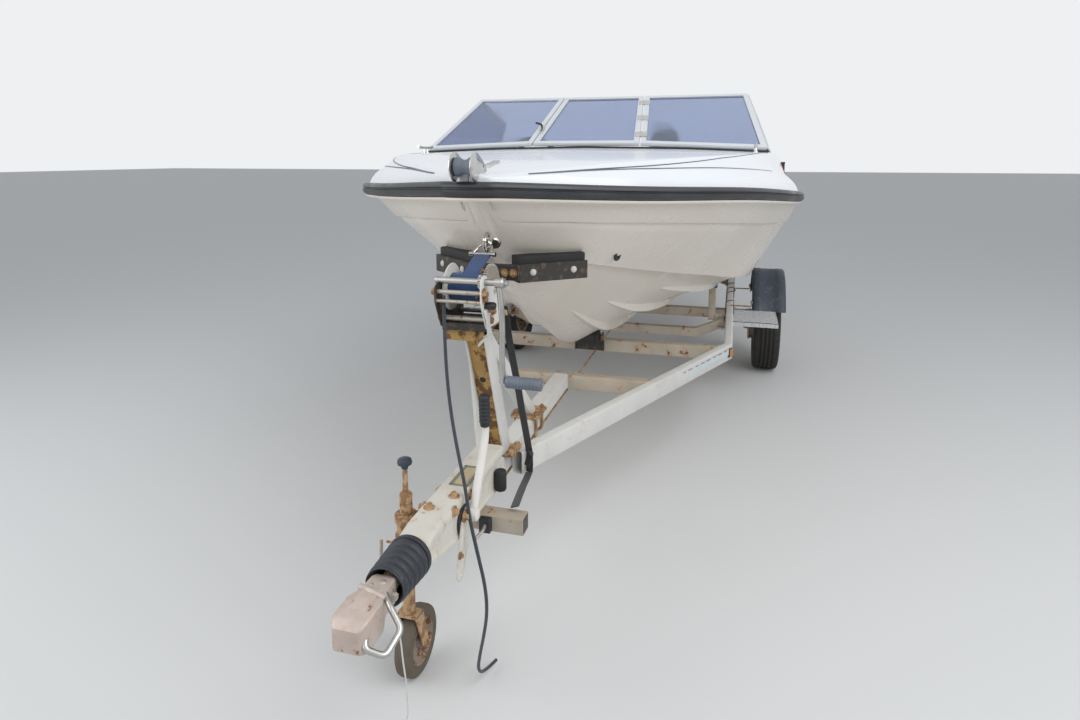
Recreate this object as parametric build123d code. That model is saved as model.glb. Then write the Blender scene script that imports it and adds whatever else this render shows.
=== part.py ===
from build123d import *
from collections import namedtuple
from math import acos, asin, atan2, cos, degrees, hypot, pi, radians, sin, tan
import os

# A five metre speedboat on its road trailer, in millimetres. It is drawn with X forward from the
# trailer's axle, Y to port and Z up from the ground. The last step moves the origin to the middle
# of the whole length, on the ground.

# Road wheels and axle
TYRE_DIAMETER = 596
TYRE_WIDTH = 165
RIM_DIAMETER = 336
RIM_WIDTH = 126
TRACK = 1800
STUB_DIAMETER = 35
BEARING_GAP = 0.05
DRUM_DIAMETER = 200
AXLE_SIDE = 60
AXLE_TUBE_X = 130
AXLE_TUBE_LIFT = 92
AXLE_Z = TYRE_DIAMETER / 2

# Trailer frame
FRAME_LIFT = 252
RAIL_HEIGHT = 75
RAIL_WIDTH = 40
RAIL_WALL = 3
RAIL_Y = 660
RAIL_REAR_X = -1780
RAIL_BEND_X = 1510
RAIL_NOSE_X = 2940
DRAWBAR_WIDTH = 60
CROSS_HEIGHT = 60
CROSS_WIDTH = 50
FRONT_CROSS_X = 2150
BEND_CROSS_X = 1560
DROPPED_BEAM_X = 850
DROPPED_BEAM_FALL = 70
REAR_CROSS_X = -500
TAIL_CROSS_X = -1745
BOARD_HOLE_Y = 300
BOARD_HOLE = 9
ROLLER_DIAMETER = 76
ROLLER_LENGTH = 120
ROLLER_PIN = 16
GUARD_RADIUS = 385
GUARD_WIDTH = 206
GUARD_SKIRT = 55
GUARD_SHEET = 4
STEP_LENGTH = 330
STEP_WIDTH = 290
STEP_SHEET = 4
FRAME_TOP = AXLE_Z + FRAME_LIFT
FRAME_BASE = FRAME_TOP - RAIL_HEIGHT
RAIL_OUTER_Y = RAIL_Y + RAIL_WIDTH / 2
NOSE_Y = DRAWBAR_WIDTH / 2 + RAIL_WIDTH / 2 + 4

# Hitch at the front of the drawbar
HITCH_REAR_X = 3030
HITCH_FRONT_X = 3550
HITCH_WIDTH = 80
HITCH_HEIGHT = 84
QUADRANT_SHEET = 6
SHAFT_DIAMETER = 42
BELLOWS_LENGTH = 125
BELLOWS_DIAMETER = 104
HEAD_LENGTH = 150
BALL_DIAMETER = 50
BALL_CLEARANCE = 0.5
BALL_DEPTH = 34
DRAWBAR_FRONT_X = HITCH_REAR_X + 110
HITCH_Z = FRAME_TOP + 10
SOCKET_Z = HITCH_Z - 42
BELLOWS_FRONT_X = HITCH_FRONT_X + BELLOWS_LENGTH
BALL_X = BELLOWS_FRONT_X + HEAD_LENGTH - 45
TIP_X = BELLOWS_FRONT_X + HEAD_LENGTH

# Jockey wheel beside the hitch
JOCKEY_X = 3280
JOCKEY_Y = -150
JOCKEY_TUBE = 34.8
JOCKEY_COLLAR = 62
JOCKEY_COLLAR_HEIGHT = 80
JOCKEY_WHEEL_DIAMETER = 190
JOCKEY_WHEEL_WIDTH = 46
JOCKEY_TRAIL = 35
JOCKEY_PIN = 12
JOCKEY_STEM = 20
FORK_SHEET = 5
FORK_GAP = 3

# Winch post
POST_X = 2965
POST_TOP_X = 3130
POST_SIDE = 60
POST_HEIGHT = 440
POST_FOOT_SHEET = 8
SNUBBER_HEIGHT = 515
SHACKLE_PIN = (3076, 0, 1172)
SNUBBER_PAD = 70
WINCH_WIDTH = 124
WINCH_HEIGHT = 190
WINCH_SHEET = 4
DRUM_CORE = 50
DRUM_FLANGE = 128
SPOOL_GAP = 2
STRAP_TURNS = 84
STRAP_SHEET = 5
STRAP_WIDTH = 48
TIE_SHEET = 3
TIE_WIDTH = 25
GEAR_TEETH = 45
PINION_TEETH = 11
GEAR_MODULE = 2.8
GEAR_FACE = 9

WINCH_X = POST_TOP_X + 30
WINCH_Z = FRAME_TOP + POST_HEIGHT + 8
DRUM_Z = WINCH_Z + 96
GEAR_RADIUS = GEAR_TEETH * GEAR_MODULE / 2
PINION_RADIUS = PINION_TEETH * GEAR_MODULE / 2
CRANK_Z = DRUM_Z + 30
CRANK_X = WINCH_X + (GEAR_RADIUS + PINION_RADIUS) * cos(asin(30 / (GEAR_RADIUS + PINION_RADIUS)))

# Hull and deck. Heights are above the keel amidships, breadths are from the centre line.
# x, keel, then breadth and height of chine, knuckle, sheer, ledge and shoulder, crown, spray rail
Station = namedtuple("Station", "x keel chine_y chine knuckle_y knuckle sheer_y sheer ledge_y ledge "
                     "shoulder_y shoulder crown rail slices")
LINES = [
    Station(-1830, 22, 740, 197, 898, 437, 950, 567, 885, 665, 850, 735, 745, 44, 2),
    Station(-600, 9, 765, 212, 930, 460, 990, 587, 915, 697, 877, 795, 808, 48, 2),
    Station(600, 4, 765, 232, 932, 487, 1000, 612, 922, 722, 880, 835, 850, 52, 2),
    Station(1400, 0, 735, 257, 893, 530, 955, 652, 882, 745, 840, 849, 872, 54, 3),
    Station(2000, 37, 540, 357, 765, 570, 870, 687, 800, 777, 745, 844, 862, 54, 4),
    Station(2450, 232, 350, 442, 575, 608, 700, 717, 625, 794, 575, 834, 848, 30, 3),
    Station(2800, 425, 190, 515, 340, 636, 450, 732, 385, 797, 355, 817, 829, 12, 3),
    Station(2930, 534, 40, 551, 215, 648, 325, 739, 275, 794, 252, 808, 819, 6, 2),
    Station(3050, 635, 26, 646, 100, 676, 200, 747, 170, 789, 156, 797, 806, 5, 2),
    Station(3160, 732, 20, 738, 34, 744, 70, 755, 56, 783, 50, 786, 790, 2, 1),
]
KEEL_CLEARANCE = 53
KEEL_FLAT = 16
SPRAY_RAILS = ((0.25, 2420), (0.52, 2300), (0.80, 2050))
SPRAY_RAIL_TAPER = 420
KNUCKLE_STEP = 8
SHELL = 8
BOTTOM_SHELL = 14
TRANSOM_SHELL = 45
DECK_SHELL = 7
TRANSOM_HEIGHT = 508
RUB_RAIL_OUT = 20
RUB_RAIL_UP = 16
RUB_RAIL_DOWN = 24
KEEL_Z = FRAME_TOP + KEEL_CLEARANCE

# Cockpit
COCKPIT_AFT_X = -1235
COCKPIT_FRONT_X = 1330
COCKPIT_HALF = 690
COCKPIT_CORNER = 80
FLOOR_HALF = 450
FLOOR_HEIGHT = 185
FLOOR_KNEE = 300
LINER_SHELL = 8
WELL_FRONT_X = -1310
WELL_HALF = 345
WELL_DEPTH = 330
WELL_SHELL = 6
DASH_DEPTH = 130
DASH_HEIGHT = 190
DASH_INNER_Y = 190
DASH_OUTER_Y = 600
SEAT_Y = 425
SEAT_X = 150
SEAT_WIDTH = 440
SEAT_BASE_HEIGHT = 190
SEAT_SHELL = 10
CUSHION = 90
BACK_HEIGHT = 420
BENCH_LENGTH = 400
WHEEL_DIAMETER = 330
WHEEL_RIM = 24
WHEEL_RAKE = 25
COLUMN_DIAMETER = 50

# Windscreen
SCREEN_BASE_X = 1740
SCREEN_BASE_CORNER_X = 1700
SCREEN_BASE_CORNER_Y = 785
SCREEN_TOP_X = 1275
SCREEN_MULLION_BASE_Y = 250
SCREEN_MULLION_TOP_Y = 207
SCREEN_TOP_CORNER_Y = 700
SCREEN_RISE = 240
WING_AFT_X = 480
WING_TOP_X = 560
WING_TOP_DROP = 95
FRAME_BAR = 24
FRAME_THICK = 16
GLASS_THICK = 5
SCREEN_GAP = 6

# Outboard motor, drawn upright with its tilt axis at the origin, then tilted as it is parked
MOTOR_TILT = 45
TILT_AXIS_X = -1890
TILT_AXIS_UP = 25
STEER_X = -62
CLAMP_Y = 105
CLAMP_SHEET = 14
SWIVEL_DIAMETER = 70
KINGPIN_DIAMETER = 28
PROP_DIAMETER = 300
PROP_HUB = 84
PROP_SHAFT = 20
PROP_DROP = 690
PLATE_DROP = 520
COWL_BASE = 57
COWL_SHELL = 5
POWERHEAD = (280, 180, 225)
COWL_HEIGHT = 330
COWL_WIDTH = 300
COWL_LENGTH = 440

# Loose lines: the winch rope and the breakaway cable
ROPE_DIAMETER = 12
CABLE_DIAMETER = 4


def fair(x):
    """The hull's station at x, from a smooth curve through each column of the table."""
    def slope(i, column):
        before, after = max(i - 1, 0), min(i + 1, len(LINES) - 1)
        return (LINES[after][column] - LINES[before][column]) / (LINES[after].x - LINES[before].x)
    i = 0
    while i < len(LINES) - 2 and x > LINES[i + 1].x:
        i += 1
    length = LINES[i + 1].x - LINES[i].x
    t = (x - LINES[i].x) / length
    values = [x]
    for column in range(1, len(Station._fields)):
        a, b = LINES[i][column], LINES[i + 1][column]
        m, n = slope(i, column) * length, slope(i + 1, column) * length
        values.append(a * (1 + 2 * t) * (1 - t) ** 2 + b * t * t * (3 - 2 * t)
                      + m * t * (1 - t) ** 2 - n * t * t * (1 - t))
    return Station(*values)


def stations(first, last):
    """Stations from first to last, with the table's own ones and the slices between them."""
    places = [LINES[0].x]
    for a, b in zip(LINES, LINES[1:]):
        places += [a.x + (b.x - a.x) * k / a.slices for k in range(1, a.slices + 1)]
    inside = [x for x in places if first + 30 < x < last - 30]
    return [fair(x) for x in [first] + inside + [last]]


def section(x, half):
    """A closed section at x from its port half, keel or bottom edge first."""
    port = [Vector(x, y, KEEL_Z + z) for y, z in half]
    starboard = [Vector(x, -y, KEEL_Z + z) for y, z in reversed(half) if y > 0]
    return Wire.make_polygon(port + starboard, close=True)


def keel_flat(s):
    return min(KEEL_FLAT, 0.4 * s.chine_y)


def hull_section(s):
    step = KNUCKLE_STEP * min(1, s.sheer_y / 700)
    return section(s.x, [
        (keel_flat(s), s.keel), (s.chine_y - 0.8 * s.rail, s.chine), (s.chine_y, s.chine),
        (s.knuckle_y, s.knuckle), (s.knuckle_y + step, s.knuckle + step / 2),
        (s.sheer_y, s.sheer)])


def spray_rail_section(s, share, tip):
    """A wedge under the bottom, flat below, that runs out to nothing at its forward tip."""
    inner = keel_flat(s)
    outer = s.chine_y - 0.8 * s.rail
    rise = (s.chine - s.keel) / (outer - inner)
    width = max(3, s.rail * min(1, (tip - s.x) / SPRAY_RAIL_TAPER) ** 0.5)
    y = inner + (outer - inner) * share

    def bottom(breadth):
        return KEEL_Z + s.keel + (breadth - inner) * rise
    a, b = y - width / 2, y + width / 2
    points = [(a - 4, bottom(a - 4) + 5), (a, bottom(a)), (b, bottom(a)), (b + 2, bottom(b + 2) + 5)]
    return Wire.make_polygon([Vector(s.x, *point) for point in points], close=True)


def hull_room_section(s):
    half = [(KEEL_FLAT / 2, s.keel + 1.5 * BOTTOM_SHELL),
            (s.chine_y - 2 * SHELL, s.chine + BOTTOM_SHELL),
            (s.knuckle_y - SHELL, s.knuckle + SHELL / 2), (s.sheer_y - SHELL, s.sheer + SHELL)]
    return section(s.x, half)


def deck_section(s, inset=0, drop=30):
    """The deck's section, or with an inset its inside."""
    bulge = 0.35 * (s.sheer_y - s.ledge_y)
    chamfer = 0.14 * (s.shoulder - s.ledge)
    half = [(s.sheer_y - RUB_RAIL_OUT / 2 - inset, s.sheer - drop), (s.sheer_y - inset, s.sheer),
            (s.sheer_y - bulge - inset, s.sheer + 0.6 * (s.ledge - s.sheer) - inset / 2),
            (s.ledge_y - inset, s.ledge - inset),
            (s.shoulder_y + chamfer / 3 - inset, s.shoulder - chamfer - inset),
            (s.shoulder_y - chamfer - inset, s.shoulder - inset),
            (0.55 * s.shoulder_y, s.crown - 0.3 * (s.crown - s.shoulder) - inset),
            (0, s.crown - inset)]
    return section(s.x, half)


def lofted(sections):
    return Solid.make_loft(sections, ruled=True)


def block(x, y, z):
    """A box from three (low, high) pairs."""
    return Pos(x[0], y[0], z[0]) * Box(x[1] - x[0], y[1] - y[0], z[1] - z[0],
                                       align=(Align.MIN, Align.MIN, Align.MIN))


def rod(start, end, diameter, bore=0):
    """A round bar or tube between two points."""
    start, end = Vector(*start), Vector(*end)
    plane = Plane(origin=start, z_dir=end - start)
    face = Circle(diameter / 2) - Circle(bore / 2) if bore else Circle(diameter / 2)
    return extrude(plane * face, amount=(end - start).length)


def strut(start, end, width, depth, wall=0):
    """A rectangular bar or tube between two points, its width level."""
    start, end = Vector(*start), Vector(*end)
    along = (end - start).normalized()
    level = Vector(0, 0, 1).cross(along)
    level = Vector(0, 1, 0) if level.length < 0.01 else level
    plane = Plane(origin=start, x_dir=level, z_dir=along)
    face = Rectangle(width, depth)
    if wall:
        face -= Rectangle(width - 2 * wall, depth - 2 * wall)
    return extrude(plane * face, amount=(end - start).length)


def bent_rod(points, diameter, bend, bore=0):
    """A round bar along straight runs joined by arcs; bend is one radius or one for each corner."""
    path = FilletPolyline(*points, radius=bend)
    face = Circle(diameter / 2) - Circle(bore / 2) if bore else Circle(diameter / 2)
    return sweep(Plane(origin=path @ 0, z_dir=path % 0) * face, path=path)


def profile(points, thickness, plane=Plane.XZ):
    """A plate from its outline, thick to both sides of its plane."""
    face = make_face(Polyline(*points, close=True))
    return extrude(plane * face, amount=thickness / 2, both=True)


def turned(points, centre, direction):
    """A turned piece: (radius, distance along the axis) points closed on themselves."""
    face = Plane.XZ * make_face(Polyline(*points, close=True))
    piece = revolve(face, axis=Axis.Z)
    return Plane(origin=centre, z_dir=direction) * piece


def both(piece):
    """A piece and its mirror image on the other side."""
    return Compound([*piece.solids(), *mirror(piece, about=Plane.XZ).solids()])


def group(*pieces):
    """Separate solids kept in one node."""
    return Compound([solid for piece in pieces for solid in piece.solids()])


def mitred_face(points, width):
    """The plan of a bar of one width along a line of plan points."""
    sides = ([], [])
    for i, point in enumerate(points):
        here = Vector(*point)
        into = (here - Vector(*points[i - 1])).normalized() if i else None
        out = (Vector(*points[i + 1]) - here).normalized() if i < len(points) - 1 else None
        into, out = into or out, out or into
        normal = Vector(-(into.Y + out.Y), into.X + out.X).normalized()
        reach = width / 2 / normal.dot(Vector(-into.Y, into.X))
        sides[0].append(here + normal * reach)
        sides[1].append(here - normal * reach)
    return make_face(Polyline(*[(p.X, p.Y) for p in sides[0] + sides[1][::-1]], close=True))


# Bodies that others are seated on
hull_outer = lofted([hull_section(s) for s in stations(LINES[0].x, LINES[-1].x)])
deck_outer = lofted([deck_section(s) for s in stations(LINES[0].x, LINES[-1].x)])
spray_rails = [lofted([spray_rail_section(s, share, tip) for s in stations(LINES[0].x, tip)])
               for share, tip in SPRAY_RAILS]
hull_skin = hull_outer + spray_rails + [mirror(rail, about=Plane.XZ) for rail in spray_rails]
cockpit_plan = Pos((COCKPIT_AFT_X + COCKPIT_FRONT_X) / 2, 0) * RectangleRounded(
    COCKPIT_FRONT_X - COCKPIT_AFT_X, 2 * COCKPIT_HALF, COCKPIT_CORNER)
STERN_X = LINES[0].x
TRANSOM_TOP = KEEL_Z + LINES[0].keel + TRANSOM_HEIGHT
SKY = KEEL_Z + 1200


def above_deck(x, half):
    """What lies above the deck's surface between two values of x."""
    return block(x, (-half, half), (KEEL_Z + 600, SKY)) - deck_outer


def make_hull():
    room = lofted([hull_room_section(s) for s in stations(STERN_X + TRANSOM_SHELL, LINES[-4].x)])
    notch = block((STERN_X - 10, STERN_X + TRANSOM_SHELL + 10), (-WELL_HALF, WELL_HALF),
                  (TRANSOM_TOP, SKY))
    return hull_skin - room - notch


def make_deck():
    room = lofted([deck_section(s, DECK_SHELL, 60)
                   for s in stations(STERN_X + 30, LINES[-2].x)])
    opening = Pos(0, 0, KEEL_Z) * extrude(cockpit_plan, amount=SKY)
    well = block((STERN_X - 10, WELL_FRONT_X), (-WELL_HALF, WELL_HALF), (KEEL_Z, SKY))
    shell = deck_outer - room - hull_outer - opening - well
    return max(shell.solids(), key=lambda s: s.volume)


def make_rub_rail():
    """The black band over the joint of hull and deck, from the transom round the bow."""
    def band(s):
        out = s.sheer_y + RUB_RAIL_OUT
        return section(s.x, [(out - 8, s.sheer - RUB_RAIL_DOWN), (out, s.sheer - 8),
                             (out, s.sheer + 6), (out - 8, s.sheer + RUB_RAIL_UP)])
    nose = fair(LINES[-1].x)
    cap = Station(*[nose.x + RUB_RAIL_OUT - 4, *nose[1:]])
    belt = lofted([band(s) for s in stations(STERN_X, LINES[-1].x)])
    belt += lofted([band(nose), band(cap)])
    return belt - hull_outer - deck_outer


def tub_face(inset):
    half = COCKPIT_HALF - inset
    floor = FLOOR_HEIGHT + inset
    return make_face(Polyline(
        (-half, SKY), (-half, KEEL_Z + FLOOR_KNEE), (-FLOOR_HALF + inset / 2, KEEL_Z + floor),
        (FLOOR_HALF - inset / 2, KEEL_Z + floor), (half, KEEL_Z + FLOOR_KNEE), (half, SKY),
        close=True))


def make_cockpit_liner():
    length = COCKPIT_FRONT_X - COCKPIT_AFT_X

    def tub(inset):
        trough = extrude(Plane(origin=(COCKPIT_AFT_X + inset, 0, 0), x_dir=(0, 1, 0),
                               z_dir=(1, 0, 0)) * tub_face(inset), amount=length - 2 * inset)
        plan = offset(cockpit_plan, amount=-inset) if inset else cockpit_plan
        return trough & extrude(plan, amount=SKY + 10)
    liner = tub(0) - tub(LINER_SHELL)
    return liner - above_deck((COCKPIT_AFT_X - 50, COCKPIT_FRONT_X + 50), COCKPIT_HALF + 20)


def make_motor_well():
    """The self draining tray ahead of the transom, open aft over the notch."""
    floor = TRANSOM_TOP + 190 - WELL_DEPTH
    x = (STERN_X + TRANSOM_SHELL, WELL_FRONT_X)
    tray = block(x, (-WELL_HALF, WELL_HALF), (floor, SKY))
    tray -= block((x[0] - 1, x[1] - WELL_SHELL),
                  (WELL_SHELL - WELL_HALF, WELL_HALF - WELL_SHELL), (floor + WELL_SHELL, SKY + 1))
    return tray - above_deck((x[0] - 80, x[1] + 20), WELL_HALF + 20)


def make_dashboard():
    top = KEEL_Z + fair(COCKPIT_FRONT_X).shoulder - 30
    front = COCKPIT_FRONT_X - LINER_SHELL
    outline = [(front, top), (front - 0.7 * DASH_DEPTH, top - 12),
               (front - DASH_DEPTH, top - 0.4 * DASH_HEIGHT),
               (front - 0.8 * DASH_DEPTH, top - DASH_HEIGHT), (front, top - DASH_HEIGHT)]
    width = DASH_OUTER_Y - DASH_INNER_Y
    pod = Pos(0, (DASH_OUTER_Y + DASH_INNER_Y) / 2, 0) * profile(outline, width)
    return both(pod)


def make_seats():
    """Moulded seat bases and their cushions: two chairs and the bench across the stern."""
    floor = KEEL_Z + FLOOR_HEIGHT + LINER_SHELL
    top = floor + SEAT_BASE_HEIGHT
    half = SEAT_WIDTH / 2
    base_y = (SEAT_Y - half + 40, FLOOR_HALF - LINER_SHELL)
    wall = SEAT_SHELL
    base = block((SEAT_X - half + 30, SEAT_X + half - 30), base_y, (floor, top))
    base -= block((SEAT_X - half + 30 + wall, SEAT_X + half - 30 - wall),
                  (base_y[0] + wall, base_y[1] - wall), (floor, top - wall))
    base = both(base)
    pan = block((SEAT_X - half + 60, SEAT_X + half), (SEAT_Y - half, SEAT_Y + half),
                (top, top + CUSHION))
    pan = fillet(pan.edges().filter_by(Axis.Z), 40)
    back = Box(70, SEAT_WIDTH, BACK_HEIGHT)
    back = fillet(back.edges().filter_by(Axis.X), 50)
    back = Pos(SEAT_X - half, SEAT_Y, top) * Rot(0, -8, 0) * Pos(0, 0, BACK_HEIGHT / 2 + 10) * back
    back = back - pan - base
    front = COCKPIT_AFT_X + LINER_SHELL + BENCH_LENGTH
    bench = block((COCKPIT_AFT_X + LINER_SHELL, front), (-FLOOR_HALF + 10, FLOOR_HALF - 10),
                  (floor, top))
    bench -= block((COCKPIT_AFT_X + LINER_SHELL + wall, front - wall),
                   (wall + 10 - FLOOR_HALF, FLOOR_HALF - wall - 10), (floor, top - wall))
    squab = block((COCKPIT_AFT_X + LINER_SHELL + 90, front + 20), (-620, 620), (top, top + CUSHION))
    squab = fillet(squab.edges().filter_by(Axis.Z), 50)
    rest = block((COCKPIT_AFT_X + LINER_SHELL, COCKPIT_AFT_X + LINER_SHELL + 90), (-600, 600),
                 (top, top + CUSHION + 230))
    return group(base, bench), group(both(pan), both(back), squab, rest)


def quad_plane(a, b, c):
    """A plane through three points, outward side up."""
    a, b, c = Vector(*a), Vector(*b), Vector(*c)
    normal = (b - a).cross(c - a).normalized()
    if normal.Z < 0:
        normal = normal * -1
    return Plane(origin=a, x_dir=b - a, z_dir=normal)


def on_plane(plane, y, z):
    """The point of a plane that has this y and z."""
    n, o = plane.z_dir, plane.origin
    return Vector(o.X - (n.Y * (y - o.Y) + n.Z * (z - o.Z)) / n.X, y, z)


def inset_loop(points, amount):
    """A convex outline moved inwards by amount, its corners kept sharp."""
    n = len(points)
    centre = sum(points, Vector(0, 0, 0)) * (1 / n)
    lines = []
    for i in range(n):
        a, b = points[i], points[(i + 1) % n]
        d = (b - a).normalized()
        normal = Vector(-d.Y, d.X)
        if normal.dot(centre - a) < 0:
            normal = normal * -1
        lines.append((a + normal * amount, d))
    loop = []
    for i in range(n):
        (p, d), (q, e) = lines[i - 1], lines[i]
        k = ((q - p).X * e.Y - (q - p).Y * e.X) / (d.X * e.Y - d.Y * e.X)
        loop.append(p + d * k)
    return loop


def pane(plane, corners):
    """The frame and the glass of one flat pane, from its outer corners."""
    flat = [plane.to_local_coords(Vector(*c)) for c in corners]
    loops = [[(p.X, p.Y) for p in inset_loop([Vector(q.X, q.Y) for q in flat], inset)]
             for inset in (0, FRAME_BAR)]
    outer, inner = [make_face(Polyline(*loop, close=True)) for loop in loops]
    bars = extrude(plane * (outer - inner), amount=FRAME_THICK / 2, both=True)
    glass = extrude(plane * inner, amount=GLASS_THICK / 2, both=True)
    return bars, glass


def screen_points():
    """Corners of the windscreen on the port side, above the deck's crown."""
    lift = FRAME_THICK
    base = fair(SCREEN_BASE_X)
    low = KEEL_Z + base.crown + lift
    corner = KEEL_Z + fair(SCREEN_BASE_CORNER_X).shoulder + lift
    high = low + SCREEN_RISE
    p = {"base_inner": (SCREEN_BASE_X, SCREEN_MULLION_BASE_Y, low),
         "top_inner": (SCREEN_TOP_X, SCREEN_MULLION_TOP_Y, high),
         "base_corner": (SCREEN_BASE_CORNER_X, SCREEN_BASE_CORNER_Y, corner)}
    plane = quad_plane(p["base_inner"], p["base_corner"], p["top_inner"])
    p["top_corner"] = tuple(on_plane(plane, SCREEN_TOP_CORNER_Y, high + 8))
    aft = fair(WING_AFT_X)
    wing = quad_plane(p["base_corner"], p["top_corner"],
                      (WING_AFT_X, aft.shoulder_y - 30, KEEL_Z + aft.shoulder + lift))
    p["wing_base"] = (WING_AFT_X, aft.shoulder_y - 30, KEEL_Z + aft.shoulder + lift)
    top_z = high + 8 - WING_TOP_DROP
    n, o = wing.z_dir, wing.origin
    top_y = o.Y - (n.X * (WING_TOP_X - o.X) + n.Z * (top_z - o.Z)) / n.Y
    p["wing_top"] = (WING_TOP_X, top_y, top_z)
    return p, plane, wing


def make_windscreen():
    """Fixed side panes, and the hinged pane in the middle with its clearance all round."""
    p, plane, wing = screen_points()
    front, front_glass = pane(plane, [p["base_inner"], p["base_corner"], p["top_corner"],
                                      p["top_inner"]])
    side, side_glass = pane(wing, [p["base_corner"], p["wing_base"], p["wing_top"],
                                   p["top_corner"]])
    glass = group(front_glass - side, side_glass - front)
    fixed = front + (side - front_glass)
    base, top = Vector(*p["base_inner"]), Vector(*p["top_inner"])
    middle = Plane(origin=(base.X, 0, base.Z), x_dir=(0, 1, 0),
                   z_dir=(top.Z - base.Z, 0, base.X - top.X))
    gap = Vector(0, SCREEN_GAP, 0)
    corners = [base - gap, top - gap]
    corners += [Vector(q.X, -q.Y, q.Z) for q in reversed(corners)]
    door, door_glass = pane(middle, corners)
    return both(fixed), both(glass), door, door_glass


def make_bow_roller():
    """The stainless fairlead on the stem head: two cheeks, a roller and a tail plate."""
    tip = fair(LINES[-1].x)
    z = KEEL_Z + tip.crown
    x = tip.x + 34
    pin_z = z + 18
    cheek = Pos(x, 0, pin_z) * Rot(90, 0, 0) * Cylinder(40, 4)
    cheek += block((x - 70, x), (-2, 2), (z + 4, z + 40))
    cheeks = Pos(0, 28, 0) * cheek + Pos(0, -28, 0) * cheek
    base = block((x - 80, x - 32), (-30, 30), (z + 1, z + 5))
    tail = Pos(0, 0, z + 3) * extrude(
        make_face(Polyline((x - 80, -30), (x - 80, 30), (x - 250, 9), (x - 250, -9), close=True)),
        amount=2, both=True)
    return cheeks + base + tail - deck_outer, rod((x, -26, pin_z), (x, 26, pin_z), 52)


def make_deck_fittings():
    """Horn cleats, the bow eye and the two side lamps."""
    cleats = []
    for x, y in ((1850, 735), (-1500, 760)):
        z = KEEL_Z + fair(x).shoulder - 2
        foot = Pos(x, y, z + 12) * Box(60, 22, 24)
        horn = rod((x - 75, y, z + 28), (x + 75, y, z + 28), 14)
        cleats.append(foot + horn - deck_outer)
    eye_x = 3036
    eye_z = KEEL_Z + 597
    ring = Pos(eye_x, 0, eye_z) * Rot(90, 0, 0) * Torus(24, 6)
    shank = rod((eye_x - 60, 0, eye_z), (eye_x - 22, 0, eye_z), 14)
    pin_x, _, pin_z = SHACKLE_PIN
    side = STRAP_WIDTH / 2 + 6
    bow = [(pin_x, -side, pin_z), (eye_x + 10, -side / 2, eye_z - 5), (eye_x + 10, side / 2, eye_z - 5),
           (pin_x, side, pin_z)]
    shackle = bent_rod(bow, 8, 8) + rod((pin_x, -side - 5, pin_z), (pin_x, side + 5, pin_z), 9)
    lamp_x = 1200
    s = fair(lamp_x)
    lamp = block((lamp_x - 45, lamp_x + 45), (s.ledge_y - 60, s.ledge_y - 4),
                 (KEEL_Z + s.ledge + 12, KEEL_Z + s.ledge + 66))
    lamp = lamp - deck_outer
    eye = (ring + shank) - hull_outer
    return both(group(*cleats)), group(eye, shackle), lamp, mirror(lamp, about=Plane.XZ)


def helm():
    """The steering wheel's centre and the way its axis points, forward and down."""
    rake = radians(WHEEL_RAKE)
    top = KEEL_Z + fair(COCKPIT_FRONT_X).shoulder - 30
    centre = Vector(COCKPIT_FRONT_X - DASH_DEPTH - 100, -SEAT_Y, top - 0.2 * DASH_HEIGHT)
    return centre, Vector(cos(rake), 0, -sin(rake))


def make_steering_wheel():
    centre, forward = helm()
    plane = Plane(origin=centre, z_dir=forward)
    ring = Torus(WHEEL_DIAMETER / 2 - WHEEL_RIM / 2, WHEEL_RIM / 2)
    hub = Pos(0, 0, 10) * Cylinder(38, 40)
    spokes = Part() + [Rot(0, 0, a) * Pos(WHEEL_DIAMETER / 4 - 4, 0, 4)
                       * Box(WHEEL_DIAMETER / 2 - 14, 34, 6) for a in (90, 210, 330)]
    return plane * (ring + hub + spokes)


def make_steering_column():
    """The helm's boss between the wheel and the dashboard."""
    centre, forward = helm()
    return rod(centre + forward * 36, centre + forward * 150, COLUMN_DIAMETER)


# Outboard motor
tilt_place = Pos(TILT_AXIS_X, 0, TRANSOM_TOP + TILT_AXIS_UP) * Rot(0, MOTOR_TILT, 0)


def make_clamp_bracket():
    """Two clamps over the transom with the tilt tube between them."""
    face_x = STERN_X - TILT_AXIS_X
    outline = [(-22, 22), (face_x + TRANSOM_SHELL + 26, 40), (face_x + TRANSOM_SHELL + 26, -110),
               (face_x + TRANSOM_SHELL + 8, -110), (face_x + TRANSOM_SHELL + 8, 0 - TILT_AXIS_UP),
               (face_x, -TILT_AXIS_UP), (face_x, -260), (face_x - 26, -260), (-30, -20)]
    plate = profile(outline, CLAMP_SHEET)
    clamps = Pos(0, CLAMP_Y, 0) * plate + Pos(0, -CLAMP_Y, 0) * plate
    clamps -= rod((0, -2 * CLAMP_Y, 0), (0, 2 * CLAMP_Y, 0), 24 + 2 * BEARING_GAP)
    screws = [rod((face_x + TRANSOM_SHELL + 1, y, -80), (face_x + TRANSOM_SHELL + 90, y, -80), 16)
              for y in (-CLAMP_Y, CLAMP_Y)]
    clamps += screws
    link = block((face_x - 24, face_x - 2), (-CLAMP_Y, CLAMP_Y), (-240, -200))
    return Pos(TILT_AXIS_X, 0, TRANSOM_TOP + TILT_AXIS_UP) * (clamps + link)


def make_swivel_bracket():
    side = CLAMP_Y - CLAMP_SHEET / 2 - 1
    tube = rod((0, -CLAMP_Y - 30, 0), (0, CLAMP_Y + 30, 0), 24)
    yoke = block((STEER_X - 10, 18), (-side, side), (-26, 26))
    yoke = fillet(yoke.edges().filter_by(Axis.Y), 12)
    barrel = rod((STEER_X, 0, -250), (STEER_X, 0, 26), SWIVEL_DIAMETER)
    web = block((STEER_X, 0), (-12, 12), (-190, 0))
    piece = tube + yoke + barrel + web
    piece -= rod((STEER_X, 0, -260), (STEER_X, 0, 40), KINGPIN_DIAMETER + 2 * BEARING_GAP)
    return tilt_place * piece


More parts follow.
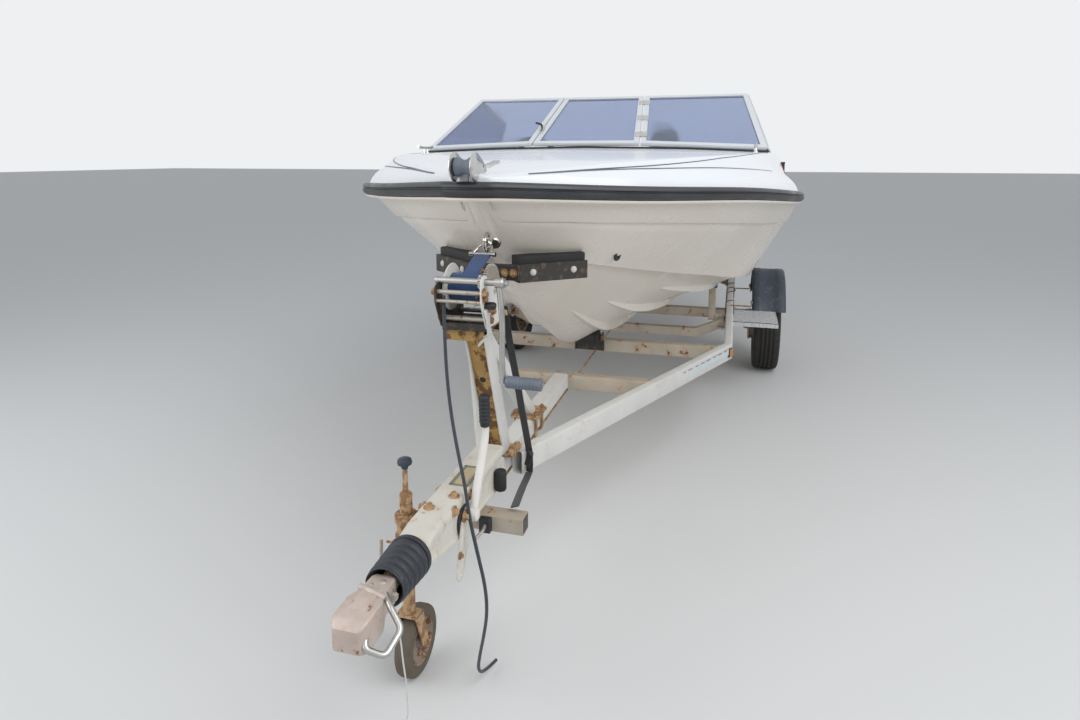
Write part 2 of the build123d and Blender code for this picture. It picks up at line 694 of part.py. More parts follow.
def make_motor_leg():
    """Kingpin, driveshaft housing, water plate, gearcase and skeg."""
    steer = STEER_X
    kingpin = rod((steer, 0, -262), (steer, 0, 40), KINGPIN_DIAMETER)
    head = block((steer - 210, steer + 30), (-60, 60), (32, 56))
    foot = block((steer - 120, steer + 24), (-40, 40), (-286, -256))
    shaft_x = steer - 130

    def foil(z, length, width, shift=0):
        x = shaft_x + shift
        points = [(x + length / 2, 0), (x + 0.3 * length, width / 2), (x - 0.25 * length, width / 2),
                  (x - length / 2, 0)]
        points += [(px, -py) for px, py in reversed(points) if py > 0]
        return Wire.make_polygon([Vector(px, py, z) for px, py in points], close=True)
    housing = Solid.make_loft([foil(-PLATE_DROP, 170, 70), foil(-PLATE_DROP + 160, 160, 84),
                               foil(32, 176, 110)], ruled=True)
    lower = Solid.make_loft([foil(-PROP_DROP, 190, 46, 6), foil(-PLATE_DROP, 170, 60)], ruled=True)
    plate = extrude(Pos(shaft_x - 60, 0, -PLATE_DROP) * make_face(Polyline(
        (170, 0), (110, 62), (-150, 100), (-190, 70), (-190, -70), (-150, -100), (110, -62),
        close=True)), amount=8)
    torpedo = turned([(0, -190), (22, -176), (37, -120), (PROP_HUB / 2, -20), (PROP_HUB / 2, 120),
                      (0, 120)], (shaft_x + 6, 0, -PROP_DROP), (-1, 0, 0))
    skeg = profile([(shaft_x + 90, -PROP_DROP), (shaft_x - 110, -PROP_DROP),
                    (shaft_x - 120, -PROP_DROP - 170), (shaft_x - 60, -PROP_DROP - 180)], 12)
    leg = kingpin + head + foot + housing + lower + plate + torpedo + skeg
    leg += rod((shaft_x - 113, 0, -PROP_DROP), (shaft_x - 250, 0, -PROP_DROP), PROP_SHAFT)
    return tilt_place * leg


def make_motor_cowl():
    """The powerhead as one plain block, and the cover that is moulded round it."""
    x = STEER_X - 130

    def ring(z, length, width, inset):
        plane = Plane(origin=(x - (COWL_LENGTH - length) * 0.2, 0, z))
        length, width = length - 2 * inset, width - 2 * inset
        return plane * RectangleRounded(length, width, min(length, width) * 0.36)

    def moulding(inset):
        return loft([ring(COWL_BASE + inset, 0.86 * COWL_LENGTH, 0.82 * COWL_WIDTH, inset),
                     ring(COWL_BASE + 0.28 * COWL_HEIGHT, COWL_LENGTH, COWL_WIDTH, inset),
                     ring(COWL_BASE + 0.8 * COWL_HEIGHT, 0.96 * COWL_LENGTH, 0.92 * COWL_WIDTH,
                          inset),
                     ring(COWL_BASE + COWL_HEIGHT - inset, 0.72 * COWL_LENGTH, 0.6 * COWL_WIDTH,
                          inset)], ruled=True)
    cover = moulding(0) - moulding(COWL_SHELL)
    powerhead = Pos(x, 0, COWL_BASE + COWL_SHELL + POWERHEAD[2] / 2) * Box(*POWERHEAD)
    return tilt_place * cover, tilt_place * powerhead


def make_propeller():
    x = STEER_X - 130 - 118
    hub_length = 100
    hub = turned([(PROP_SHAFT / 2 + BEARING_GAP, 0), (PROP_HUB / 2, 0),
                  (PROP_HUB / 2 - 6, hub_length), (PROP_SHAFT / 2 + BEARING_GAP, hub_length)],
                 (x, 0, -PROP_DROP), (-1, 0, 0))

    def cut(radius, chord, pitch):
        plane = Plane(origin=(x - hub_length / 2, 0, -PROP_DROP + radius), x_dir=(-1, 0, 0),
                      z_dir=(0, 0, 1)).rotated((0, 0, pitch))
        return plane * Ellipse(chord / 2, 4)
    blade = loft([cut(PROP_HUB / 2 - 12, 84, 52), cut(PROP_DIAMETER / 4 + 10, 118, 38),
                  cut(PROP_DIAMETER / 2 - 8, 74, 26)])
    axis = Axis((x, 0, -PROP_DROP), (1, 0, 0))
    blades = [blade.rotate(axis, a) for a in (0, 120, 240)]
    bore = rod((x + 5, 0, -PROP_DROP), (x - hub_length - 5, 0, -PROP_DROP),
               PROP_SHAFT + 2 * BEARING_GAP)
    return tilt_place * ((hub + blades) - bore)


# Trailer
rail_plan = [(RAIL_REAR_X, RAIL_Y), (RAIL_BEND_X, RAIL_Y), (RAIL_NOSE_X, NOSE_Y)]


def rail_solid(width, low, high):
    return extrude(Pos(0, 0, low) * mitred_face(rail_plan, width), amount=high - low)


def make_side_rails():
    rail = rail_solid(RAIL_WIDTH, FRAME_BASE, FRAME_TOP)
    rail -= rail_solid(RAIL_WIDTH - 2 * RAIL_WALL, FRAME_BASE + RAIL_WALL, FRAME_TOP - RAIL_WALL)
    return both(rail)


def rail_y(x):
    """The rails' centre line, from the centre of the trailer."""
    if x <= RAIL_BEND_X:
        return RAIL_Y
    return RAIL_Y + (NOSE_Y - RAIL_Y) * (x - RAIL_BEND_X) / (RAIL_NOSE_X - RAIL_BEND_X)


def make_crossmembers():
    rails = both(rail_solid(RAIL_WIDTH, FRAME_BASE, FRAME_TOP))
    beams = []
    for x in (FRONT_CROSS_X, BEND_CROSS_X, REAR_CROSS_X, TAIL_CROSS_X):
        reach = rail_y(x)
        beam = strut((x, -reach, FRAME_TOP - 5 - CROSS_HEIGHT / 2),
                     (x, reach, FRAME_TOP - 5 - CROSS_HEIGHT / 2), CROSS_WIDTH, CROSS_HEIGHT,
                     RAIL_WALL)
        beams.append(beam - rails)
    for y in (-BOARD_HOLE_Y, BOARD_HOLE_Y):
        beams[-1] -= rod((TAIL_CROSS_X - CROSS_WIDTH, y, FRAME_TOP - 5 - CROSS_HEIGHT / 2),
                         (TAIL_CROSS_X + CROSS_WIDTH, y, FRAME_TOP - 5 - CROSS_HEIGHT / 2),
                         BOARD_HOLE)
    half = RAIL_Y - RAIL_WIDTH / 2
    top = FRAME_TOP - 25
    outline = [(-half, top), (-half + 150, top - DROPPED_BEAM_FALL),
               (half - 150, top - DROPPED_BEAM_FALL), (half, top), (half, top - 50),
               (half - 165, top - DROPPED_BEAM_FALL - 50), (165 - half, top - DROPPED_BEAM_FALL - 50),
               (-half, top - 50)]
    dropped = extrude(Plane(origin=(DROPPED_BEAM_X, 0, 0), x_dir=(0, 1, 0), z_dir=(1, 0, 0))
                      * make_face(Polyline(*outline, close=True)), amount=CROSS_WIDTH / 2, both=True)
    return group(*beams, dropped)


def make_drawbar():
    z = FRAME_TOP - DRAWBAR_WIDTH / 2
    start = FRONT_CROSS_X + CROSS_WIDTH / 2
    return strut((start, 0, z), (DRAWBAR_FRONT_X, 0, z), DRAWBAR_WIDTH, DRAWBAR_WIDTH, RAIL_WALL)


def make_axle():
    """The beam under the rails, its trailing arms and the stubs that carry the wheels."""
    z = AXLE_Z + AXLE_TUBE_LIFT
    end = TRACK / 2 - TYRE_WIDTH / 2 - 62
    beam = strut((AXLE_TUBE_X, -end, z), (AXLE_TUBE_X, end, z), AXLE_SIDE, AXLE_SIDE, 5)
    arm_y = end + 14
    arm = strut((AXLE_TUBE_X + 20, arm_y, z + 14), (-22, arm_y, AXLE_Z - 15), 28, 58)
    stub = rod((0, arm_y, AXLE_Z), (0, TRACK / 2 + 20, AXLE_Z), STUB_DIAMETER)
    plate = rod((0, arm_y + 14, AXLE_Z), (0, arm_y + 22, AXLE_Z), DRUM_DIAMETER + 14)
    hanger = block((AXLE_TUBE_X - 45, AXLE_TUBE_X + 45), (RAIL_Y - 20, RAIL_Y + 20),
                   (z + AXLE_SIDE / 2, FRAME_BASE))
    return beam + both(arm + stub + plate) + both(hanger)


def make_wheel(side):
    """Tyre and steel rim with its drum; side is 1 to port and -1 to starboard."""
    centre = (0, side * TRACK / 2, AXLE_Z)
    out = (0, side, 0)
    r, w = TYRE_DIAMETER / 2, TYRE_WIDTH / 2
    bead = RIM_DIAMETER / 2
    rim_half = RIM_WIDTH / 2
    profile_line = [(bead + 2, -rim_half + 6), (bead + 12, -rim_half - 2), (r - 52, -w),
                    (r - 22, -w + 2), (r - 5, -w + 16), (r, -w + 34), (r, w - 34), (r - 5, w - 16),
                    (r - 22, w - 2), (r - 52, w), (bead + 12, rim_half + 2),
                    (bead + 2, rim_half - 6), (bead + 2, rim_half - 16), (bead + 24, rim_half - 18),
                    (r - 14, w - 34), (r - 14, -w + 34), (bead + 24, 18 - rim_half),
                    (bead + 2, 16 - rim_half)]
    tyre = turned(profile_line, centre, out)
    lip = bead + 12
    barrel = turned([(bead - 6, -rim_half), (lip, -rim_half - 3), (lip, -rim_half - 7),
                     (bead - 12, -rim_half - 5), (bead - 12, -rim_half + 20), (bead - 34, -24),
                     (bead - 34, 16), (bead - 12, rim_half - 20), (bead - 12, rim_half + 5),
                     (lip, rim_half + 7), (lip, rim_half + 3), (bead - 6, rim_half),
                     (bead - 6, rim_half - 17), (bead - 28, 20), (bead - 28, -26),
                     (bead - 6, 17 - rim_half)], centre, out)
    stub = STUB_DIAMETER / 2 + BEARING_GAP
    end = 32
    drum_back = -TYRE_WIDTH / 2 - 30
    disc = turned([(stub, drum_back + 26), (DRUM_DIAMETER / 2 - 8, drum_back + 26),
                   (DRUM_DIAMETER / 2 - 8, drum_back + 4), (DRUM_DIAMETER / 2, drum_back + 4),
                   (DRUM_DIAMETER / 2, 0), (bead - 34, 0), (bead - 34, 5),
                   (DRUM_DIAMETER / 2 - 10, 12), (70, 16), (66, 26), (40, 26), (38, 52), (0, 52),
                   (0, end), (stub, end)], centre, out)
    vents = [Plane(origin=centre, z_dir=out) * Rot(0, 0, a) * Pos(bead - 52, 0, -5)
             * Cylinder(9, 60) for a in range(0, 360, 30)]
    wheel = barrel + disc - vents
    nuts = [Plane(origin=centre, z_dir=out) * Rot(0, 0, a) * Pos(50, 0, 30) * extrude(
        RegularPolygon(10, 6), amount=9, both=True) for a in (45, 135, 225, 315)]
    return tyre, wheel + nuts


def make_mudguards():
    """Arched guards over the wheels with a turned down edge and a stay to the rail."""
    y = (TRACK / 2 - GUARD_WIDTH / 2, TRACK / 2 + GUARD_WIDTH / 2)
    disc = rod((0, y[0], AXLE_Z), (0, y[1], AXLE_Z), 2 * GUARD_RADIUS)
    disc -= rod((0, y[0] + GUARD_SHEET, AXLE_Z), (0, y[1] - GUARD_SHEET, AXLE_Z),
                2 * (GUARD_RADIUS - GUARD_SHEET))
    disc -= rod((0, y[0] - 1, AXLE_Z), (0, y[1] + 1, AXLE_Z), 2 * (GUARD_RADIUS - GUARD_SKIRT))
    cut = AXLE_Z + GUARD_RADIUS * sin(radians(25))
    guard = disc & block((-GUARD_RADIUS, GUARD_RADIUS), (y[0], y[1]), (cut, SKY))
    return both(guard)


def make_guard_stays():
    """Flat stays from the rails out to the guards' inner sides."""
    y = TRACK / 2 - GUARD_WIDTH / 2
    z = AXLE_Z + GUARD_RADIUS * sin(radians(25))
    stays = []
    for x in (-1, 1):
        foot = x * (GUARD_RADIUS - GUARD_SKIRT) * 0.93
        stay = block((foot - 15, foot + 15), (RAIL_OUTER_Y, y), (z + 18, z + 24))
        stay += block((foot - 15, foot + 15), (y - 5, y), (z + 18, z + 60))
        stay += block((foot - 15, foot + 15), (RAIL_OUTER_Y, RAIL_OUTER_Y + 6), (z - 5, z + 24))
        stays.append(stay)
    return both(group(*stays))


def make_step_plates():
    """Folded tread plates on the rails ahead of the guards."""
    x = (GUARD_RADIUS + 6, GUARD_RADIUS + 6 + STEP_LENGTH)
    z = FRAME_BASE
    y = (RAIL_Y - 10, RAIL_Y - 10 + STEP_WIDTH)
    tread = block(x, y, (z - STEP_SHEET, z))
    tread += block((x[1] - STEP_SHEET, x[1]), y, (z - 28, z))
    tread += block(x, (y[1] - STEP_SHEET, y[1]), (z - 28, z))
    return both(tread)


def make_hull_supports():
    """Padded posts under the bilges, and their pads cut to the hull."""
    posts, pads = [], []
    foot = FRAME_TOP - 25
    for x, y in ((DROPPED_BEAM_X - 60, 560), (TAIL_CROSS_X + 330, 540)):
        top = KEEL_Z + 95
        posts.append(block((x - 20, x + 20), (y - 20, y + 20), (foot - 30, top)))
        posts.append(block((x - 25, x + 25), (y - 20, RAIL_Y - RAIL_WIDTH / 2), (foot - 30, foot)))
        pads.append(block((x - 90, x + 90), (y - 28, y + 28), (top, top + 140)) - hull_skin)
    pads = [max(pad.solids(), key=lambda s: -s.center().Z) for pad in pads]
    return both(group(*[posts[0] + posts[1]], *[posts[2] + posts[3]])), both(group(*pads))


def make_keel_rollers():
    """Rollers on the centre line ahead of their crossmembers, and the forks that hold them."""
    rollers, forks = [], []
    radius = ROLLER_DIAMETER / 2
    ear = ROLLER_LENGTH / 2 + 8
    for cross_x in (BEND_CROSS_X, REAR_CROSS_X, TAIL_CROSS_X):
        face = cross_x + CROSS_WIDTH / 2
        x = face + radius + 8
        z = KEEL_Z + fair(x).keel - radius
        roller = rod((x, -ROLLER_LENGTH / 2, z), (x, ROLLER_LENGTH / 2, z), ROLLER_DIAMETER)
        pin = rod((x, -ear - 8, z), (x, ear + 8, z), ROLLER_PIN)
        rollers.append(Pos(0, 0, 1) * roller - hull_outer - pin)
        fork = block((face, face + 5), (-ear - 5, ear + 5), (FRAME_TOP - 60, FRAME_TOP - 8))
        for y in (-ear, ear):
            fork += block((face, x + 14), (y - 3, y + 3), (z - 14, z + 16))
            fork += block((face, face + 14), (y - 3, y + 3), (FRAME_TOP - 60, z + 16))
        forks.append(fork + pin)
    return group(*rollers), group(*forks)


def post_bar(wall=0):
    """The winch post's leaning bar, a tube with a wall or solid without."""
    foot_z = FRAME_TOP + POST_FOOT_SHEET
    lean = (POST_TOP_X - POST_X) / (POST_HEIGHT - POST_FOOT_SHEET)
    return strut((POST_X - 10 * lean, 0, foot_z - 10), (POST_TOP_X, 0, FRAME_TOP + POST_HEIGHT),
                 POST_SIDE, POST_SIDE, wall)


def make_winch_post():
    """The leaning post, its foot plate and clamps, and the brace behind it."""
    foot_z = FRAME_TOP + POST_FOOT_SHEET
    top_z = FRAME_TOP + POST_HEIGHT
    foot = block((POST_X - 55, POST_X + 30), (-60, 60), (FRAME_TOP, foot_z))
    post = post_bar(4)
    post -= block((POST_X - 200, POST_X + 200), (-100, 100), (FRAME_TOP - 100, foot_z))
    head = block((POST_TOP_X - 70, POST_TOP_X + 80), (-WINCH_WIDTH / 2, WINCH_WIDTH / 2),
                 (top_z - 2, top_z + 8))
    brace_x = POST_X - 330
    brace = strut((brace_x, 0, FRAME_TOP + 4), (POST_TOP_X - 60, 0, top_z - 60), 40, 40, 3)
    brace = brace - post - block((brace_x - 100, POST_X), (-60, 60), (FRAME_TOP - 60, foot_z))
    clamp = block((brace_x - 60, brace_x + 60), (-50, 50), (FRAME_TOP, foot_z))
    post = post - block((POST_TOP_X - 90, POST_TOP_X + 90), (-100, 100), (top_z - 2, top_z + 90))
    return foot + post + head + brace + clamp


def make_snubber():
    """Rubber blocks in a V against the stem, on steel arms from the back of the winch."""
    z = KEEL_Z + SNUBBER_HEIGHT
    inner, outer = (2935, 34), (2790, 205)
    angle = degrees(atan2(outer[1] - inner[1], outer[0] - inner[0]))
    length = hypot(outer[0] - inner[0], outer[1] - inner[1])
    place = Pos((inner[0] + outer[0]) / 2, (inner[1] + outer[1]) / 2, z) * Rot(0, 0, angle)
    pad = place * Pos(0, -26, 0) * Box(length, 52, SNUBBER_PAD)
    pad = max((pad - hull_outer).solids(), key=lambda s: s.volume)
    arm = place * Pos(0, -58, -12) * Box(length, 12, 48)
    arm += place * Pos(0, -40, -SNUBBER_PAD / 2 - 3) * Box(length, 48, 6)
    rear = WINCH_X - 90
    yoke = block((2968, 2998), (-78, 78), (z - 32, z + 12))
    neck = block((2990, rear), (-24, 24), (z - 32, z - 6))
    stay = strut((3078, 0, FRAME_TOP + POST_HEIGHT - 75), (2983, 0, z - 20), 30, 20) - post_bar()
    arms = arm + mirror(arm, about=Plane.XZ) + yoke + neck + stay
    return both(pad), arms - both(pad)


def spur(teeth, bore, thickness):
    """A spur wheel with straight sided teeth about the Z axis."""
    pitch = teeth * GEAR_MODULE / 2
    points = []
    for k in range(teeth):
        for share, reach in ((-0.34, -1.25), (-0.13, 0.95), (0.13, 0.95), (0.34, -1.25)):
            angle = 2 * pi * (k + share) / teeth
            radius = pitch + reach * GEAR_MODULE
            points.append((radius * cos(angle), radius * sin(angle)))
    face = make_face(Polyline(*points, close=True)) - Circle(bore / 2)
    return extrude(face, amount=thickness / 2, both=True)


def make_winch():
    half = WINCH_WIDTH / 2
    x = (WINCH_X - 90, WINCH_X + 100)
    outline = [(x[0], WINCH_Z), (WINCH_X + 60, WINCH_Z), (x[1], WINCH_Z + 70),
               (x[1], WINCH_Z + 120),
               (x[1] - 30, WINCH_Z + WINCH_HEIGHT - 20), (x[0] + 60, WINCH_Z + WINCH_HEIGHT),
               (x[0], WINCH_Z + 90)]
    plate = profile(outline, WINCH_SHEET)
    frame = Pos(0, half, 0) * plate + Pos(0, -half, 0) * plate
    frame += block((x[0], WINCH_X + 55), (-half, half), (WINCH_Z, WINCH_Z + WINCH_SHEET))
    for dx, dz in ((-70, 20), (46, 22), (84, 98), (-20, 170)):
        frame += rod((WINCH_X + dx, -half, WINCH_Z + dz), (WINCH_X + dx, half, WINCH_Z + dz), 14)
    crank_bore = 18
    frame -= rod((CRANK_X, -half - 10, CRANK_Z), (CRANK_X, half + 10, CRANK_Z), crank_bore)
    frame -= rod((WINCH_X, -half - 10, DRUM_Z), (WINCH_X, half + 10, DRUM_Z), 20)
    inner = half - WINCH_SHEET / 2 - SPOOL_GAP
    gear_y = inner - GEAR_FACE / 2
    drum = rod((WINCH_X, -inner, DRUM_Z), (WINCH_X, inner - GEAR_FACE, DRUM_Z), DRUM_CORE)
    flange_in = inner - GEAR_FACE
    for y in (-inner, flange_in - 3):
        drum += rod((WINCH_X, y, DRUM_Z), (WINCH_X, y + 3, DRUM_Z), DRUM_FLANGE - 20)
    drum += rod((WINCH_X, -half - 10, DRUM_Z), (WINCH_X, half + 10, DRUM_Z), 20)
    gear = Plane(origin=(WINCH_X, gear_y, DRUM_Z), x_dir=(1, 0, 0), z_dir=(0, -1, 0)) * Rot(
        0, 0, degrees(asin(30 / (GEAR_RADIUS + PINION_RADIUS)))) * spur(GEAR_TEETH, 19, GEAR_FACE)
    drum += gear
    return frame, drum


def make_crank():
    """Pinion shaft, hanging crank arm and its grip."""
    half = WINCH_WIDTH / 2
    inner = half - WINCH_SHEET / 2 - SPOOL_GAP
    turn = degrees(asin(30 / (GEAR_RADIUS + PINION_RADIUS))) + 180 + 180 / PINION_TEETH
    pinion = Plane(origin=(CRANK_X, inner - GEAR_FACE / 2, CRANK_Z), x_dir=(1, 0, 0),
                   z_dir=(0, -1, 0)) * Rot(0, 0, turn) * spur(PINION_TEETH, 17, GEAR_FACE)
    arm_y = half + 46
    shaft = rod((CRANK_X, -half - 8, CRANK_Z), (CRANK_X, arm_y, CRANK_Z), 18)
    arm = bent_rod([(CRANK_X, arm_y - 9, CRANK_Z + 12), (CRANK_X + 6, arm_y + 4, CRANK_Z - 90),
                    (CRANK_X - 10, arm_y - 4, CRANK_Z - 190), (CRANK_X - 6, arm_y, CRANK_Z - 262)],
                   14, 60)
    pin = rod((CRANK_X - 6, arm_y - 10, CRANK_Z - 258), (CRANK_X - 6, arm_y + 106, CRANK_Z - 258), 9)
    grip = rod((CRANK_X - 6, arm_y + 8, CRANK_Z - 258), (CRANK_X - 6, arm_y + 104, CRANK_Z - 258), 32)
    return pinion + shaft + arm + pin, grip - pin


def make_strap():
    """Webbing wound on the drum with its run to the shackle, and the tie round the port rail."""
    inner = WINCH_WIDTH / 2 - WINCH_SHEET / 2 - SPOOL_GAP
    half = inner - GEAR_FACE - 4
    turns = rod((WINCH_X, -inner + 4, DRUM_Z), (WINCH_X, half, DRUM_Z), STRAP_TURNS)
    turns -= rod((WINCH_X, -inner, DRUM_Z), (WINCH_X, half + 2, DRUM_Z), DRUM_CORE)
    drum = Vector(WINCH_X, 0, DRUM_Z)
    radius = (STRAP_TURNS - STRAP_SHEET) / 2
    reach = Vector(*SHACKLE_PIN) - drum
    angle = atan2(reach.Z, reach.X) - acos(radius / reach.length)
    leave = drum + Vector(cos(angle), 0, sin(angle)) * radius
    along = (Vector(*SHACKLE_PIN) - leave).normalized()
    run = strut(leave, Vector(*SHACKLE_PIN) - along * 6, STRAP_WIDTH, STRAP_SHEET)
    tie = [strut(a, b, TIE_SHEET, TIE_WIDTH) for a, b in zip(TIE, TIE[1:])]
    return group(turns + run, tie[0] + tie[1:])


def make_hitch():
    """The overrun housing that takes the drawbar and the coupling's shaft."""
    low, high = HITCH_Z - HITCH_HEIGHT / 2, HITCH_Z + HITCH_HEIGHT / 2
    outline = [(HITCH_REAR_X, FRAME_BASE + 10), (HITCH_FRONT_X - 150, low - 14),
               (HITCH_FRONT_X - 40, low + 8), (HITCH_FRONT_X, low + 18), (HITCH_FRONT_X, high - 14),
               (HITCH_FRONT_X - 60, high), (HITCH_REAR_X, high)]
    body = profile(outline, HITCH_WIDTH)
    drawbar_z = FRAME_TOP - DRAWBAR_WIDTH / 2
    body -= Pos((HITCH_REAR_X + DRAWBAR_FRONT_X) / 2, 0, drawbar_z) * Box(
        DRAWBAR_FRONT_X - HITCH_REAR_X, DRAWBAR_WIDTH, DRAWBAR_WIDTH)
    shaft_z = HITCH_Z
    body -= rod((HITCH_FRONT_X - 200, 0, shaft_z), (HITCH_FRONT_X + 10, 0, shaft_z), SHAFT_DIAMETER)
    rails = both(rail_solid(RAIL_WIDTH, FRAME_BASE, FRAME_TOP))
    body -= rails
    half = HITCH_WIDTH / 2
    hook = bent_rod([(3506, -half + 4, 518), (3512, -76, 518), (3516, -82, 566)], 8, 8)
    cross_x = (DRAWBAR_FRONT_X + 5, DRAWBAR_FRONT_X + 55)
    cross = block(cross_x, (-60, 150), (FRAME_BASE - 50, FRAME_BASE))
    cross += block(cross_x, (-half, half), (FRAME_BASE - 1, FRAME_BASE + 40))
    quadrant = profile([(3345, 560), (3368, 540), (3408, 420), (3392, 398), (3372, 408),
                        (3300, 520)], QUADRANT_SHEET)
    quadrant = Pos(0, half + QUADRANT_SHEET / 2 - 0.5, 0) * quadrant
    return body + hook + (cross - rails - body) + quadrant


def make_coupling():
    """Shaft, cast head with its ball socket and the loop handle."""
    z = HITCH_Z
    shaft = rod((HITCH_FRONT_X - 200, 0, z), (BELLOWS_FRONT_X + 20, 0, z), SHAFT_DIAMETER)
    head = Solid.make_loft([
        (Plane(origin=(BELLOWS_FRONT_X, 0, z), x_dir=(0, 1, 0), z_dir=(1, 0, 0))
         * RectangleRounded(56, 56, 12)).wire(),
        (Plane(origin=(BALL_X - 10, 0, z - 6), x_dir=(0, 1, 0), z_dir=(1, 0, 0))
         * RectangleRounded(76, 72, 20)).wire(),
        (Plane(origin=(TIP_X, 0, z - 12), x_dir=(0, 1, 0), z_dir=(1, 0, 0))
         * RectangleRounded(58, 44, 16)).wire()], ruled=True)
    socket = BALL_DIAMETER / 2 + BALL_CLEARANCE
    head -= rod((BALL_X, 0, SOCKET_Z - 10), (BALL_X, 0, SOCKET_Z + BALL_DEPTH), 2 * socket)
    handle = bent_rod([(BALL_X - 60, -20, z + 24), (BALL_X - 40, -24, z + 78), (BALL_X + 36, -20, z + 74),
                       (BALL_X + 36, 20, z + 74), (BALL_X - 40, 24, z + 78),
                       (BALL_X - 60, 20, z + 24)], 11, 12)
    return shaft + head + handle


def make_bellows():
    """The rubber gaiter between housing and head."""
    r, bore = BELLOWS_DIAMETER / 2, SHAFT_DIAMETER / 2
    folds = 5
    pitch = (BELLOWS_LENGTH - 20) / folds
    line = [(bore, 0), (r - 4, 0), (r - 4, 10)]
    for k in range(folds):
        z = 10 + k * pitch
        line += [(r - 13, z + 0.2 * pitch), (r - 5 - k * 2, z + 0.45 * pitch),
                 (r - 5 - k * 2, z + 0.75 * pitch), (r - 15 - k, z + pitch)]
    line += [(r - 22, BELLOWS_LENGTH), (bore, BELLOWS_LENGTH), (bore, BELLOWS_LENGTH - 8),
             (r - 26, BELLOWS_LENGTH - 12), (r - 22, 8), (bore, 8)]
    return turned(line, (HITCH_FRONT_X, 0, HITCH_Z), (1, 0, 0))


def make_handbrake():
    lever_y = HITCH_WIDTH / 2 + 18
    lever = bent_rod([(3325, lever_y, HITCH_Z - 14), (3222, lever_y, 722), (3232, lever_y, 800)],
                     22, 60)
    pivot = rod((3325, HITCH_WIDTH / 2 + QUADRANT_SHEET, HITCH_Z - 14),
                (3325, lever_y + 14, HITCH_Z - 14), 30)
    grip = rod((3228, lever_y, 742), (3233, lever_y, 828), 30)
    return lever + pivot - grip, grip


def make_jockey():
    """Clamp on the hitch, sliding leg with its handle, castor fork and wheel."""
    x, y = JOCKEY_X, JOCKEY_Y
    collar_z = (FRAME_BASE - 60, FRAME_BASE - 60 + JOCKEY_COLLAR_HEIGHT)
    bore = JOCKEY_TUBE + 2 * BEARING_GAP
    collar = rod((x, y, collar_z[0]), (x, y, collar_z[1]), JOCKEY_COLLAR)
    arm = block((x - 24, x + 24), (y + 10, -HITCH_WIDTH / 2), (collar_z[1] - 22, collar_z[1]))
    ear = block((x - 24, x + 24), (-HITCH_WIDTH / 2 - 8, -HITCH_WIDTH / 2),
                (collar_z[1] - 22, HITCH_Z + 20))
    knob = rod((x + JOCKEY_COLLAR / 2 - 4, y, collar_z[0] + 30), (x + 70, y, collar_z[0] + 30), 12)
    clamp = collar + arm + ear + knob
    clamp -= rod((x, y, collar_z[0] - 5), (x, y, collar_z[1] + 5), bore)
    wheel_r = JOCKEY_WHEEL_DIAMETER / 2
    fork_top = JOCKEY_WHEEL_DIAMETER + 16
    leg = rod((x, y, fork_top), (x, y, FRAME_TOP + 50), JOCKEY_TUBE)
    leg -= rod((x, y, fork_top - 5), (x, y, fork_top + 70), JOCKEY_STEM + 2 * BEARING_GAP)
    leg += rod((x, y, FRAME_TOP + 50), (x, y, FRAME_TOP + 78), 12)
    leg += turned([(0, 0), (12, 0), (20, 8), (20, 18), (14, 24), (0, 26)],
                  (x, y, FRAME_TOP + 76), (0, 0, 1))
    side = JOCKEY_WHEEL_WIDTH / 2 + FORK_GAP + FORK_SHEET / 2
    cheek = profile([(x + 22, fork_top - 1), (x - 22, fork_top - 1),
                     (x - JOCKEY_TRAIL - 16, wheel_r - 12), (x - JOCKEY_TRAIL + 16, wheel_r - 12)],
                    FORK_SHEET)
    fork = Pos(0, y + side, 0) * cheek + Pos(0, y - side, 0) * cheek
    fork += block((x - 24, x + 24), (y - side - FORK_SHEET / 2, y + side + FORK_SHEET / 2),
                  (fork_top - 7, fork_top - 1))
    fork += rod((x, y, fork_top - 4), (x, y, fork_top + 66), JOCKEY_STEM)
    pin_x = x - JOCKEY_TRAIL
    fork += rod((pin_x, y - side - 8, wheel_r), (pin_x, y + side + 8, wheel_r), JOCKEY_PIN)
    half = JOCKEY_WHEEL_WIDTH / 2
    pin_bore = JOCKEY_PIN / 2 + BEARING_GAP
    wheel = turned([(pin_bore, -half), (24, -half), (26, -10), (58, -10), (60, -half),
                    (wheel_r - 8, -half), (wheel_r, -half + 10), (wheel_r, half - 10),
                    (wheel_r - 8, half), (60, half), (58, 10), (26, 10), (24, half),
                    (pin_bore, half)], (pin_x, y, wheel_r), (0, 1, 0))
    return clamp, leg, fork, wheel


def make_brake_rod():
    """The pull rod from the hitch back to the axle, under the frame."""
    z = FRAME_BASE - 12
    return rod((HITCH_REAR_X - 40, 14, z), (AXLE_TUBE_X + 80, 14, z), 8)


def cord(points, diameter):
    """A loose line through hand set points, each bend as large as its runs allow."""
    corners = [Vector(*p) for p in points]
    radii = []
    for a, b, c in zip(corners, corners[1:], corners[2:]):
        turn = radians((b - a).get_angle(c - b))
        radii.append(0.45 * min((b - a).length, (c - b).length) / tan(turn / 2))
    path = FilletPolyline(*corners, radius=radii)
    return sweep(Plane(origin=path @ 0, z_dir=path % 0) * Circle(diameter / 2), path=path)


ROPE = [(3244, -44, 1087), (3254, -40, 945), (3270, -22, 800), (3300, 10, 695), (3336, 42, 632),
        (3360, 64, 550), (3360, 84, 460), (3348, 98, 370), (3336, 98, 290), (3316, 80, 205),
        (3286, 56, 120), (3270, 44, 62), (3232, 46, 24), (3172, 62, 21)]
BREAKAWAY = [(3511, -72, 511), (3502, -80, 450), (3492, -76, 395), (3484, -78, 335),
             (3478, -72, 275), (3468, -74, 215), (3462, -70, 155), (3452, -74, 95),
             (3450, -74, 52), (3448, -84, 24), (3454, -110, 19), (3468, -156, 18)]

